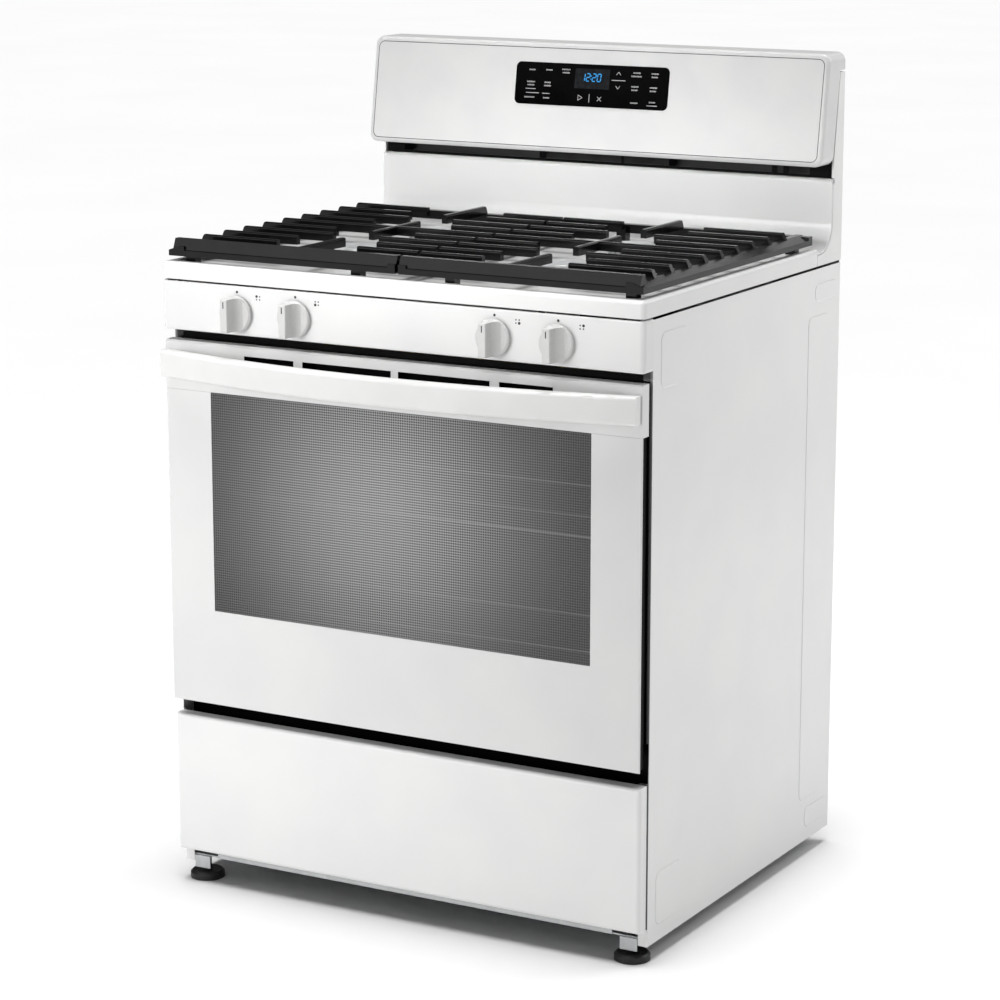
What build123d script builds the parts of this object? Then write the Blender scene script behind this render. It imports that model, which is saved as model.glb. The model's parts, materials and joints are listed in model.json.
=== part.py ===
from build123d import *
import math
import os

os.makedirs("parts", exist_ok=True)

# Driving dimensions in millimetres. X runs to the right, Y to the back, Z up.
# The origin is on the floor, below the middle of the range.
WIDTH = 759.0
DEPTH = 700.0
HEIGHT = 1191.0
COOKTOP_HEIGHT = 914.0
SHEET = 1.2
GAP = 0.3
SCREW_HEAD = 3.0
SCREW_RADIUS = 4.0

half = WIDTH / 2
handle_front = -DEPTH / 2
back = DEPTH / 2 - SCREW_HEAD

# Front planes, from the handle to the cabinet.
HANDLE_REACH = 64.0
door_front = handle_front + HANDLE_REACH
fascia_front = door_front - 2.0
drawer_front_y = door_front + 4.0
panel_front = door_front + 26.0
DOOR_THICKNESS = 20.0
door_back = door_front + DOOR_THICKNESS

# Heights of the front, from the floor up.
panel_bottom = 25.0
panel_top = 886.0
drawer_bottom = 48.0
drawer_top = 254.0
door_bottom = 277.0
window_bottom = 416.0
window_top = 733.0
door_top = 803.0
fascia_bottom = 818.0
lip_bottom = 890.0
fascia_top = lip_bottom - 2.0

hinge_notch = (drawer_top + 2.0, 312.0)

door_half = half - 2.6
window_half = 302.0


def block(x, y, z, mode=Mode.ADD):
    """A box between two corners, given as a low and a high value on each axis."""
    middle = [(low + high) / 2 for low, high in (x, y, z)]
    size = [abs(high - low) for low, high in (x, y, z)]
    with Locations(Vector(*middle)):
        Box(*size, mode=mode)


def both(value):
    """A range from minus the value to the value."""
    return (-value, value)


def rod(start, end, radius, mode=Mode.ADD):
    """A round rod from one point to another, along one of the axes."""
    run = Vector(*end) - Vector(*start)
    plane = Plane(origin=start, z_dir=run)
    with Locations(plane.location):
        Cylinder(radius, run.length, align=(Align.CENTER, Align.CENTER, Align.MIN), mode=mode)


def save(piece, label):
    """Name a finished piece and write it to its own file."""
    piece.label = label
    export_step(piece, f"parts/{label}.step")


# Cabinet shell: two side panels, a rear panel and the cover behind the backguard.
FLANGE = 15.0
PAD_RISE = 0.8
PAD_ROUND = 12.0
REAR_SHEET = 1.0
CAP_SHEET = 3.0
rear_inner = back - REAR_SHEET
panel_face = half - PAD_RISE
panel_inner = panel_face - SHEET

# Stiffening pads pressed out of each side, as ranges along Y and Z.
side_pads = (
    ((-237.0, -160.0), (791.0, 866.0)),
    ((-237.0, -160.0), (48.0, 124.0)),
    ((237.0, 308.0), (91.0, 818.0)),
    ((258.0, 336.0), (838.0, 864.0)),
    ((258.0, 336.0), (45.0, 76.0)),
)


def side_panel(side):
    """A sheet side with folded front and rear edges, notched in front where the door's foot swings in."""
    inside = side * (half - FLANGE)
    flange_x = (inside, side * panel_face)
    rear_flange = rear_inner - 0.1
    height = (panel_bottom, panel_top)
    with BuildPart() as panel:
        block((side * panel_inner, side * panel_face), (panel_front, back), height)
        block(flange_x, (panel_front, panel_front + SHEET), height)
        block(flange_x, (rear_flange - SHEET, rear_flange), height)
        notch_x = (inside - side, side * panel_inner)
        block(notch_x, (panel_front - 1, panel_front + SHEET + 1), hinge_notch, Mode.SUBTRACT)
        with BuildSketch(Plane.YZ.offset(side * panel_face)):
            for (near, far), (low, high) in side_pads:
                with Locations(((near + far) / 2, (low + high) / 2)):
                    RectangleRounded(far - near, high - low, PAD_ROUND)
        extrude(amount=side * PAD_RISE)
        outermost = panel.faces().filter_by(Plane.YZ).group_by(Axis.X)[-1 if side > 0 else 0]
        chamfer(outermost.edges(), PAD_RISE * 0.9)
    return panel.part


save(side_panel(-1), "side_panel_left")
save(side_panel(1), "side_panel_right")

pipe_x = 352.0
pipe_back_y = 300.0
inlet_x = pipe_x - 8.0
inlet_z = 210.0
INLET_WINDOW = (34.0, 56.0)
rear_panel_half = panel_inner - GAP
rear_panel_bottom = 60.0
rear_panel_top = lip_bottom - 1.0
CORD_HOLE_RADIUS = 11.0
cord_hole_x = -300.0
cord_hole_z = 700.0
louvre_z = 820.0
LOUVRE = (20.0, 4.0)
LOUVRE_PITCH = (26.0, 16.0)

with BuildPart() as rear_panel:
    block(both(rear_panel_half), (rear_inner, back), (rear_panel_bottom, rear_panel_top))
    with BuildSketch(Plane.XZ.offset(-back)):
        with Locations((inlet_x, inlet_z)):
            Rectangle(*INLET_WINDOW)
        with Locations((cord_hole_x, cord_hole_z)):
            Circle(CORD_HOLE_RADIUS)
        with Locations((0, louvre_z)):
            with GridLocations(*LOUVRE_PITCH, 8, 3):
                SlotOverall(*LOUVRE)
    extrude(amount=REAR_SHEET * 2, both=True, mode=Mode.SUBTRACT)
save(rear_panel.part, "rear_panel")

end_cap_top = 1163.0
with BuildPart() as rear_cover:
    block(both(half - CAP_SHEET - 1), (rear_inner, back), (rear_panel_top + 1, end_cap_top))
save(rear_cover.part, "backguard_rear_cover")

# Base: a ring of sheet with a slotted pale rail under the drawer, on four screw legs.
leg_front_x = 350.0
leg_back_x = 290.0
leg_front_y = -248.0
leg_back_y = 300.0
LEG_PAD_RADIUS = 25.0
LEG_PAD_HEIGHT = 11.0
LEG_STEM_RADIUS = 6.0
LEG_STEM_LENGTH = 44.0
leg_places = ((leg_front_x, leg_front_y), (leg_back_x, leg_back_y))
leg_spots = [(side * x, y) for x, y in leg_places for side in (-1, 1)]
base_z = panel_bottom + 9.0
BASE_SHEET = 2.0
BASE_RING = 70.0
BASE_WALL = 40.0
base_half = panel_inner - GAP
base_rear = rear_inner - 3.0
rail_front = panel_front + SHEET + GAP
RAIL_TOP = 46.0
RAIL_SLOT = (14.0, 3.0)
rail_slot_z = 42.0
rail_slot_spots = (-270.0, -225.0, 225.0, 270.0)
rail_half = leg_front_x - 26.0

with BuildPart() as base_frame:
    plate_y = (leg_front_y - LEG_STEM_RADIUS - 3.0, base_rear)
    block(both(base_half), plate_y, (base_z, base_z + BASE_SHEET))
    block(both(rail_half), (rail_front, plate_y[0]), (base_z, base_z + BASE_SHEET))
    ring_y = (leg_front_y + BASE_RING, leg_back_y - BASE_RING)
    block(both(base_half - BASE_RING), ring_y, (base_z - 1, base_z + BASE_SHEET + 1), Mode.SUBTRACT)
    block(both(rail_half), (rail_front, rail_front + BASE_SHEET), (base_z, RAIL_TOP))
    for side in (-1, 1):
        outer = side * base_half
        wall_x = (outer - side * BASE_SHEET, outer)
        block(wall_x, plate_y, (base_z, base_z + BASE_WALL))
    with BuildSketch(Plane.XY.offset(base_z)):
        with Locations(*leg_spots):
            Circle(LEG_STEM_RADIUS + GAP)
    extrude(amount=BASE_SHEET, mode=Mode.SUBTRACT)
    with BuildSketch(Plane.XZ.offset(-rail_front)):
        with Locations(*[(x, rail_slot_z) for x in rail_slot_spots]):
            SlotOverall(*RAIL_SLOT)
    extrude(amount=BASE_SHEET * 2, both=True, mode=Mode.SUBTRACT)
save(base_frame.part, "base_frame")

with BuildPart() as legs:
    with BuildSketch():
        with Locations(*leg_spots):
            Circle(LEG_PAD_RADIUS)
    extrude(amount=LEG_PAD_HEIGHT)
    chamfer(legs.edges().filter_by(GeomType.CIRCLE).group_by(Axis.Z)[-1], 3)
    with BuildSketch(Plane.XY.offset(LEG_PAD_HEIGHT)):
        with Locations(*leg_spots):
            Circle(LEG_STEM_RADIUS)
    extrude(amount=LEG_STEM_LENGTH)
save(legs.part, "leveling_legs")

BRACKET_WIDTH = 26.0
BRACKET_SHEET = 1.6
bracket_front = rail_front - BRACKET_SHEET - GAP
bracket_top = base_z - 0.2
bracket_z = (LEG_PAD_HEIGHT + 5.0, base_z)
with BuildPart() as leg_brackets:
    for side in (-1, 1):
        x = (side * leg_front_x - BRACKET_WIDTH / 2, side * leg_front_x + BRACKET_WIDTH / 2)
        shelf_y = (bracket_front, leg_front_y - LEG_STEM_RADIUS - 1)
        block(x, shelf_y, (bracket_top - BRACKET_SHEET, bracket_top))
        block(x, (bracket_front, bracket_front + BRACKET_SHEET), bracket_z)
save(leg_brackets.part, "leg_brackets")

# Oven box. The front frame carries the liner, the hinge arms and the gasket face.
FRAME_SHEET = 1.5
frame_front = panel_front + SHEET
frame_half = panel_inner - GAP
frame_top = door_top + 8.0
mouth_half = 292.0
mouth_bottom = 352.0
mouth_top = 702.0
recess_top = 310.0
recess_wall = -236.0
recess_bottom = 240.0
hinge_x = 345.0
hinge_y = -258.0
hinge_z = 292.0
ARM_THICKNESS = 5.0
ARM_HALF_HEIGHT = 6.0
ARM_SLOT = 8.0

with BuildPart() as front_frame:
    block(both(frame_half), (frame_front, frame_front + FRAME_SHEET), (recess_top, frame_top))
    block(both(mouth_half), (frame_front - 1, frame_front + 4), (mouth_bottom, mouth_top), Mode.SUBTRACT)
    shelf_y = (frame_front, recess_wall + FRAME_SHEET)
    block(both(frame_half), shelf_y, (recess_top, recess_top + FRAME_SHEET))
    block(both(frame_half), (recess_wall, recess_wall + FRAME_SHEET), (recess_bottom, recess_top))
    for side in (-1, 1):
        slot_x = (side * hinge_x - ARM_SLOT / 2, side * hinge_x + ARM_SLOT / 2)
        slot_z = (hinge_z - ARM_HALF_HEIGHT - 4, hinge_z + ARM_HALF_HEIGHT + 4)
        block(slot_x, (recess_wall - 1, recess_wall + 4), slot_z, Mode.SUBTRACT)
save(front_frame.part, "front_frame")

LINER_SHEET = 1.5
cavity_half = 300.0
cavity_back = 230.0
cavity_bottom = recess_top + FRAME_SHEET + LINER_SHEET + 1.0
cavity_top = 720.0
liner_front = frame_front + FRAME_SHEET
RIB_DEPTH = 14.0
RIB_HEIGHT = 4.0
RIB_START = 20.0
rib_tops = (345.0, 436.0, 498.0, 560.0, 622.0)
flue_half = 110.0
FLUE_RIM = 10.0
flue_y = (170.0, 215.0)

with BuildPart() as oven_liner:
    outer = cavity_half + LINER_SHEET
    low, high = cavity_bottom - LINER_SHEET, cavity_top + LINER_SHEET
    block(both(outer), (liner_front, cavity_back + LINER_SHEET), (low, high))
    block(both(cavity_half), (liner_front - 1, cavity_back), (cavity_bottom, cavity_top), Mode.SUBTRACT)
    for top in rib_tops:
        for side in (-1, 1):
            rib_x = (side * (cavity_half - RIB_DEPTH), side * cavity_half)
            block(rib_x, (liner_front + RIB_START, cavity_back), (top - RIB_HEIGHT, top))
    mouth_y = (flue_y[0] + FLUE_RIM / 2, flue_y[1])
    block(both(flue_half - FLUE_RIM), mouth_y, (cavity_top - 1, high + 1), Mode.SUBTRACT)
save(oven_liner.part, "oven_liner")

INSULATION = 28.0
FLUE_SHEET = 1.2
flue_rear = rear_inner - 2.0
flue_bottom = cavity_top + LINER_SHEET
flue_bend_top = 765.0
flue_front = 322.0
vent_bottom = 1011.0
console_bottom = 1031.0
flue_top = console_bottom - 2.0
with BuildPart() as insulation:
    outer = cavity_half + LINER_SHEET + GAP
    low, high = cavity_bottom - LINER_SHEET - GAP, cavity_top + LINER_SHEET + GAP
    rear = cavity_back + LINER_SHEET + GAP
    wool_y = (liner_front + 2, rear + INSULATION)
    block(both(outer + INSULATION), wool_y, (low - INSULATION, high + INSULATION))
    block(both(outer), (liner_front, rear), (low, high), Mode.SUBTRACT)
    block(both(half), (liner_front, recess_wall + 4), (low - INSULATION, low), Mode.SUBTRACT)
    flue_way_y = (flue_y[0] - 2, rear + INSULATION + 1)
    flue_way_z = (high - 1, high + INSULATION + 1)
    block(both(flue_half + 2), flue_way_y, flue_way_z, Mode.SUBTRACT)
save(insulation.part, "oven_insulation")

with BuildPart() as flue_duct:
    block(both(flue_half), (flue_y[0], flue_rear), (flue_bottom, flue_bend_top))
    block(both(flue_half), (flue_front, flue_rear), (flue_bend_top, flue_top))
    inner = both(flue_half - FLUE_SHEET)
    inner_rear = flue_rear - FLUE_SHEET
    inner_top = flue_top - FLUE_SHEET
    bend_z = (flue_bottom + FLUE_SHEET, flue_bend_top - FLUE_SHEET)
    block(inner, (flue_y[0] + FLUE_SHEET, inner_rear), bend_z, Mode.SUBTRACT)
    rise_z = (flue_bend_top - 5, inner_top)
    block(inner, (flue_front + FLUE_SHEET, inner_rear), rise_z, Mode.SUBTRACT)
    mouth_y = (flue_y[0] + FLUE_RIM / 2, flue_y[1])
    block(both(flue_half - FLUE_RIM), mouth_y, (flue_bottom - 1, flue_bottom + 5), Mode.SUBTRACT)
    block(inner, (flue_front - 1, flue_front + 5), (vent_bottom + 1, inner_top), Mode.SUBTRACT)
save(flue_duct.part, "flue_duct")

floor_z = rib_tops[0]
FLOOR_SHEET = 1.5
FLOOR_SLOT = (40.0, 8.0)
floor_slot_y = (-220.0, 212.0)
with BuildPart() as oven_floor:
    floor_y = (liner_front + RIB_START + 2, cavity_back - 4)
    block(both(cavity_half - 3), floor_y, (floor_z, floor_z + FLOOR_SHEET))
    with BuildSketch(Plane.XY.offset(floor_z)):
        with Locations(*[(0, y) for y in floor_slot_y]):
            with GridLocations(70, 1, 7, 1):
                SlotOverall(*FLOOR_SLOT)
    extrude(amount=FLOOR_SHEET, mode=Mode.SUBTRACT)
save(oven_floor.part, "oven_floor")

bake_z = cavity_bottom + 14.0
bake_front_y = -150.0
BAKE_RADIUS = 11.0
BAKE_WALL = 1.5
BAKE_PORTS = 18
BAKE_PORT_PITCH = 15.0
bake_middle_y = 20.0
with BuildPart() as bake_burner:
    rod((0, bake_front_y, bake_z), (0, cavity_back, bake_z), BAKE_RADIUS)
    bore_start = (0, bake_front_y + BAKE_WALL, bake_z)
    rod(bore_start, (0, cavity_back - 8, bake_z), BAKE_RADIUS - BAKE_WALL, Mode.SUBTRACT)
    with BuildSketch(Plane.YZ):
        with Locations((bake_middle_y, bake_z)):
            with GridLocations(BAKE_PORT_PITCH, 1, BAKE_PORTS, 1):
                Circle(BAKE_WALL)
    extrude(amount=BAKE_RADIUS + 2, both=True, mode=Mode.SUBTRACT)
save(bake_burner.part, "bake_burner")

igniter_x = (BAKE_RADIUS + 3.0, BAKE_RADIUS + 17.0)
igniter_y = (60.0, 140.0)
with BuildPart() as oven_igniter:
    block(igniter_x, igniter_y, (bake_z - 6, bake_z + 4))
save(oven_igniter.part, "oven_igniter")

lamp_x = -220.0
lamp_z = 650.0
LAMP_RADIUS = 24.0
LAMP_REACH = 32.0
with BuildPart() as oven_lamp:
    rod((lamp_x, cavity_back, lamp_z), (lamp_x, cavity_back - LAMP_REACH, lamp_z), LAMP_RADIUS)
    fillet(oven_lamp.edges().group_by(Axis.Y)[0], 10)
save(oven_lamp.part, "oven_lamp")

sensor_x = 190.0
sensor_z = 670.0
SENSOR_FLANGE = (9.0, 4.0)
SENSOR_RADIUS = 3.0
SENSOR_REACH = 110.0
with BuildPart() as temperature_sensor:
    flange_y = cavity_back - SENSOR_FLANGE[1]
    tip_y = cavity_back - SENSOR_REACH
    rod((sensor_x, cavity_back, sensor_z), (sensor_x, flange_y, sensor_z), SENSOR_FLANGE[0])
    rod((sensor_x, flange_y, sensor_z), (sensor_x, tip_y, sensor_z), SENSOR_RADIUS)
save(temperature_sensor.part, "temperature_sensor")

# Oven racks: a wire border with close rods from front to back.
RACK_HALF = 292.0
RACK_FRONT = -215.0
RACK_BACK = 222.0
BORDER_RADIUS = 3.2
ROD_RADIUS = 1.8
RACK_RODS = 19
RACK_GAP = 0.3


def oven_rack(rib_top):
    """A wire rack that lies on the ribs at one height."""
    z = rib_top + RACK_GAP + BORDER_RADIUS
    rod_z = z + BORDER_RADIUS
    front = RACK_FRONT - BORDER_RADIUS
    rear = RACK_BACK + BORDER_RADIUS
    with BuildPart() as rack:
        for side in (-1, 1):
            x = side * RACK_HALF
            rod((x, front, z), (x, rear, z), BORDER_RADIUS)
        for y in (RACK_FRONT, (RACK_FRONT + RACK_BACK) / 2, RACK_BACK):
            rod((-RACK_HALF, y, z), (RACK_HALF, y, z), BORDER_RADIUS)
        for number in range(RACK_RODS):
            x = -RACK_HALF + (number + 1) * 2 * RACK_HALF / (RACK_RODS + 1)
            rod((x, front, rod_z), (x, rear, rod_z), ROD_RADIUS)
    return rack.part


save(oven_rack(rib_tops[3]), "oven_rack_upper")
save(oven_rack(rib_tops[1]), "oven_rack_lower")

# Cooktop: lip, shallow pan, cove and riser in one pressing.
burner_x = 165.0
BAR_PITCH = 51.5
first_bar_y = -267.0
bar_y = [first_bar_y + BAR_PITCH * number for number in range(10)]
front_burner_y = bar_y[3]
rear_burner_y = bar_y[7]
burner_spots = [(-burner_x, rear_burner_y), (-burner_x, front_burner_y)]
burner_spots += [(burner_x, front_burner_y), (burner_x, rear_burner_y)]
PAN_DEPTH = 6.0
PAN_MARGIN = 14.0
PAN_OVERRUN = 40.0
PAN_ROUND = 18.0
PAN_SLOPE = 40.0
pan_front_y = fascia_front + PAN_MARGIN
pan_z = COOKTOP_HEIGHT - PAN_DEPTH
PAN_SHEET = 1.6
lip_rear = 262.0
cove_start = 273.0
riser_front = 311.0
COVE_RADIUS = riser_front - cove_start
RISER_ROUND = 6.0
LIP_ROUND = 5.0
CORNER_ROUND = 7.5
BASE_HOLE = 24.0
ELECTRODE_REACH = 40.5
ELECTRODE_RADIUS = 3.0

with BuildPart() as cooktop:
    block(both(half), (fascia_front, lip_rear), (lip_bottom, COOKTOP_HEIGHT))
    front_corners = cooktop.edges().filter_by(Axis.Z).group_by(Axis.Y)[0]
    fillet(front_corners, CORNER_ROUND)
    top_rim = cooktop.faces().sort_by(Axis.Z)[-1].edges().group_by(Axis.Y)[:-1]
    fillet([edge for group in top_rim for edge in group], LIP_ROUND)
    with BuildSketch(Plane.XY.offset(COOKTOP_HEIGHT)):
        pan_rear_y = lip_rear + PAN_OVERRUN
        with Locations((0, (pan_front_y + pan_rear_y) / 2)):
            RectangleRounded(WIDTH - 2 * PAN_MARGIN, pan_rear_y - pan_front_y, PAN_ROUND)
    extrude(amount=-PAN_DEPTH, taper=PAN_SLOPE, mode=Mode.SUBTRACT)
    with BuildSketch(Plane.XY.offset(pan_z - PAN_SHEET)) as hollow:
        hollow_y = (fascia_front + SHEET, lip_rear + 1)
        with Locations((0, (hollow_y[0] + hollow_y[1]) / 2)):
            Rectangle(WIDTH - 2 * SHEET, hollow_y[1] - hollow_y[0])
        fillet(hollow.vertices().group_by(Axis.Y)[0], CORNER_ROUND - SHEET)
    extrude(amount=lip_bottom - pan_z, mode=Mode.SUBTRACT)
    with BuildSketch(Plane.YZ):
        with BuildLine():
            Line((lip_rear - 1, pan_z), (cove_start, pan_z))
            CenterArc((cove_start, pan_z + COVE_RADIUS), COVE_RADIUS, -90, 90)
            Line((riser_front, pan_z + COVE_RADIUS), (riser_front, vent_bottom - RISER_ROUND))
            round_y = riser_front + RISER_ROUND
            CenterArc((round_y, vent_bottom - RISER_ROUND), RISER_ROUND, 180, -90)
            inner_round = RISER_ROUND - PAN_SHEET
            Line((round_y, vent_bottom), (round_y, vent_bottom - PAN_SHEET))
            CenterArc((round_y, vent_bottom - RISER_ROUND), inner_round, 90, 90)
            inner_y = riser_front + PAN_SHEET
            Line((inner_y, vent_bottom - RISER_ROUND), (inner_y, pan_z + COVE_RADIUS))
            CenterArc((cove_start, pan_z + COVE_RADIUS), COVE_RADIUS + PAN_SHEET, 0, -90)
            Line((cove_start, pan_z - PAN_SHEET), (lip_rear - 1, pan_z - PAN_SHEET))
            Line((lip_rear - 1, pan_z - PAN_SHEET), (lip_rear - 1, pan_z))
        make_face()
    extrude(amount=half - 0.5, both=True)
    with BuildSketch(Plane.XY.offset(pan_z)):
        for x, y in burner_spots:
            with Locations((x, y)):
                Circle(BASE_HOLE + 0.5)
                with PolarLocations(ELECTRODE_REACH, 1, start_angle=45):
                    Circle(ELECTRODE_RADIUS + 0.4)
    extrude(amount=-PAN_SHEET * 2, mode=Mode.SUBTRACT)
save(cooktop.part, "cooktop")

# Burners: a base through the pan, a cap that lifts off and a spark electrode beside it.
BASE_RADIUS = 33.0
BASE_FLANGE = 36.0
CAP_RADIUS = 34.0
base_low = 836.0
flange_top = pan_z + 3.0
base_top = pan_z + 14.0
cap_top = base_top + 7.0
HEAD_PORTS = 24
PORT = (8.0, 2.0)
PORT_DEPTH = 6.0
BASE_WALL_THICK = 4.0
CAP_EDGE = 4.0

with BuildPart() as burner_bases:
    for x, y in burner_spots:
        rod((x, y, base_low), (x, y, pan_z), BASE_HOLE)
        rod((x, y, pan_z), (x, y, flange_top), BASE_FLANGE)
        rod((x, y, flange_top), (x, y, base_top), BASE_RADIUS)
        with BuildSketch(Plane.XY.offset(base_top - PORT_DEPTH)):
            with Locations((x, y)):
                with PolarLocations(BASE_RADIUS - 2, HEAD_PORTS):
                    Rectangle(*PORT)
        extrude(amount=PORT_DEPTH, mode=Mode.SUBTRACT)
        rod((x, y, base_low - 1), (x, y, base_top - 8), BASE_HOLE - BASE_WALL_THICK, Mode.SUBTRACT)
save(burner_bases.part, "burner_bases")


def burner_cap(x, y):
    """A round cap with a softened top edge."""
    with BuildPart() as cap:
        rod((x, y, base_top + 0.1), (x, y, cap_top), CAP_RADIUS)
        fillet(cap.edges().group_by(Axis.Z)[-1], CAP_EDGE)
    return cap.part


for number, spot in enumerate(burner_spots, start=1):
    save(burner_cap(*spot), f"burner_cap_{number}")

electrode_low = pan_z - 30.0
electrode_top = pan_z + 9.0
ELECTRODE_TIP = (1.2, 4.0)
with BuildPart() as electrodes:
    reach = ELECTRODE_REACH / math.sqrt(2)
    for x, y in burner_spots:
        tip = (x + reach, y + reach, electrode_top + ELECTRODE_TIP[1])
        shoulder = (x + reach, y + reach, electrode_top)
        rod((x + reach, y + reach, electrode_low), shoulder, ELECTRODE_RADIUS)
        rod(shoulder, tip, ELECTRODE_TIP[0])
save(electrodes.part, "spark_electrodes")

# Grates: low rails all round, parallel bars on top that stop short of the burners.
GRATE_TOP = 945.0
GRATE_INNER = 2.5
GRATE_OUTER = 373.0
GRATE_FRONT = -279.0
GRATE_REAR = 257.0
RAIL_LOW = 921.0
RAIL_HIGH = 934.0
BAR_WIDTH = 9.0
BAR_LOW = 932.0
BAR_OUTER = 352.0
LONG_REACH = 38.0
SHORT_REACH = 66.0
FLANGE_WIDTH = 26.0
FOOT_SIZE = 15.0
SKIRT_TOP = 929.0
RAIL_WIDTH = 12.0
FLANGE_CREST = 9.0
FLANGE_FALL = 5.0
END_SLOPE = 6.0
BAR_CROWN = 2.6
bar_start = BAR_OUTER + 8.0
foot_x_spots = (GRATE_INNER + 72.0, GRATE_OUTER - 26.0)
foot_y_spots = (GRATE_FRONT + 23.0, GRATE_REAR - RAIL_WIDTH)


def bar(start, end, sloped_start=0.0, sloped_end=0.0):
    """A straight grate bar with a crowned top and sides that draw in towards it."""
    run = Vector(end[0] - start[0], end[1] - start[1], 0)
    side = Plane(origin=(start[0], start[1], 0), x_dir=run, z_dir=run.cross(Vector(0, 0, 1)))
    length = run.length
    with BuildPart(mode=Mode.PRIVATE) as piece:
        with BuildSketch(side):
            with BuildLine():
                Polyline(
                    (0, BAR_LOW),
                    (sloped_start, GRATE_TOP),
                    (length - sloped_end, GRATE_TOP),
                    (length, BAR_LOW),
                    close=True,
                )
            make_face()
        extrude(amount=BAR_WIDTH / 2, both=True)
        long_edges = piece.edges().filter_by(lambda edge: edge.length > BAR_WIDTH * 1.5)
        fillet(long_edges.group_by(Axis.Z)[-1], BAR_CROWN)
    add(piece.part)


def grate(side):
    """One grate, for the left or the right half of the cooktop."""

    def at(x):
        return side * x

    inner = at(GRATE_INNER)
    outer = at(GRATE_OUTER)
    with BuildPart() as casting:
        with BuildSketch(Plane.XZ.offset(-GRATE_REAR)):
            with BuildLine():
                Polyline(
                    (at(GRATE_OUTER - FLANGE_WIDTH), RAIL_LOW),
                    (at(GRATE_OUTER - FLANGE_WIDTH), RAIL_HIGH + 1),
                    (at(GRATE_OUTER - FLANGE_WIDTH + FLANGE_CREST), RAIL_HIGH + 1),
                    (at(GRATE_OUTER), RAIL_HIGH - FLANGE_FALL),
                    (at(GRATE_OUTER), RAIL_LOW),
                    close=True,
                )
            make_face()
        extrude(amount=GRATE_REAR - GRATE_FRONT)
        block((inner, at(GRATE_INNER + RAIL_WIDTH)), (GRATE_FRONT, GRATE_REAR), (RAIL_LOW, RAIL_HIGH))
        block((inner, outer), (GRATE_REAR - RAIL_WIDTH, GRATE_REAR), (RAIL_LOW, RAIL_HIGH))
        with BuildSketch(Plane.YZ.offset(inner)):
            with BuildLine():
                Polyline(
                    (GRATE_FRONT, RAIL_LOW),
                    (GRATE_FRONT, SKIRT_TOP),
                    (GRATE_FRONT + 2, SKIRT_TOP + 1),
                    (first_bar_y - 4, GRATE_TOP),
                    (first_bar_y + 5, GRATE_TOP),
                    (first_bar_y + 5, RAIL_LOW),
                    close=True,
                )
            make_face()
        extrude(amount=at(GRATE_OUTER - GRATE_INNER - END_SLOPE))
        for number, y in enumerate(bar_y[1:], start=2):
            if number == 6:
                bar((at(bar_start), y), (at(GRATE_INNER), y), sloped_start=END_SLOPE)
                continue
            reach = LONG_REACH if number in (4, 8) else SHORT_REACH
            bar((at(bar_start), y), (at(burner_x + reach), y), sloped_start=END_SLOPE)
            bar((at(GRATE_INNER), y), (at(burner_x - reach), y))
        bar((at(burner_x), first_bar_y), (at(burner_x), front_burner_y - LONG_REACH))
        bar((at(burner_x), front_burner_y + LONG_REACH), (at(burner_x), rear_burner_y - LONG_REACH))
        rear_finger = (at(burner_x), rear_burner_y + LONG_REACH)
        bar(rear_finger, (at(burner_x), GRATE_REAR - 2), sloped_end=END_SLOPE)
        for x in foot_x_spots:
            for y in foot_y_spots:
                foot_x = (at(x - FOOT_SIZE / 2), at(x + FOOT_SIZE / 2))
                block(foot_x, (y - FOOT_SIZE / 2, y + FOOT_SIZE / 2), (pan_z, RAIL_HIGH - 4))
    return casting.part


save(grate(-1), "grate_left")
save(grate(1), "grate_right")

# Knob fascia, gas manifold, valves and knobs.
knob_spots = (-253.0, -157.0, 157.0, 253.0)
knob_z = 849.5
STEM_RADIUS = 4.0
STEM_FIT = 0.05
STEM_HOLE_GAP = 4.0
VALVE_HALF = 12.0
valve_front = -262.0
valve_back = -222.0
PIPE_RADIUS = 9.5
pipe_y = -240.0
pipe_end_x = -290.0
PIPE_BEND = 40.0
elbow_top = inlet_z + 31.0
pipe_z = knob_z - VALVE_HALF - PIPE_RADIUS - 0.1
FASCIA_EDGE = 3.0

with BuildPart() as knob_fascia:
    block(both(half), (fascia_front, panel_front - 1), (fascia_bottom, fascia_top))
    fillet(knob_fascia.edges().filter_by(Axis.Z).group_by(Axis.Y)[0], CORNER_ROUND)
    for level in (0, -1):
        rim = knob_fascia.faces().sort_by(Axis.Z)[level].edges().group_by(Axis.Y)[:-1]
        fillet([edge for group in rim for edge in group], FASCIA_EDGE)
    inner_y = (fascia_front + SHEET, panel_front)
    block(both(half - CORNER_ROUND), inner_y, (fascia_bottom + SHEET, fascia_top + 1), Mode.SUBTRACT)
    with BuildSketch(Plane.XZ.offset(-fascia_front)):
        with Locations(*[(x, knob_z) for x in knob_spots]):
            Circle(STEM_RADIUS + STEM_HOLE_GAP)
    extrude(amount=SHEET * 3, both=True, mode=Mode.SUBTRACT)
save(knob_fascia.part, "knob_fascia")

with BuildPart() as gas_manifold:
    with BuildLine():
        FilletPolyline(
            (pipe_end_x, pipe_y, pipe_z),
            (pipe_x, pipe_y, pipe_z),
            (pipe_x, pipe_back_y, pipe_z),
            (pipe_x, pipe_back_y, elbow_top),
            radius=PIPE_BEND,
        )
    with BuildSketch(Plane(origin=(pipe_end_x, pipe_y, pipe_z), z_dir=(1, 0, 0))):
        Circle(PIPE_RADIUS)
    sweep()
save(gas_manifold.part, "gas_manifold")

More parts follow.
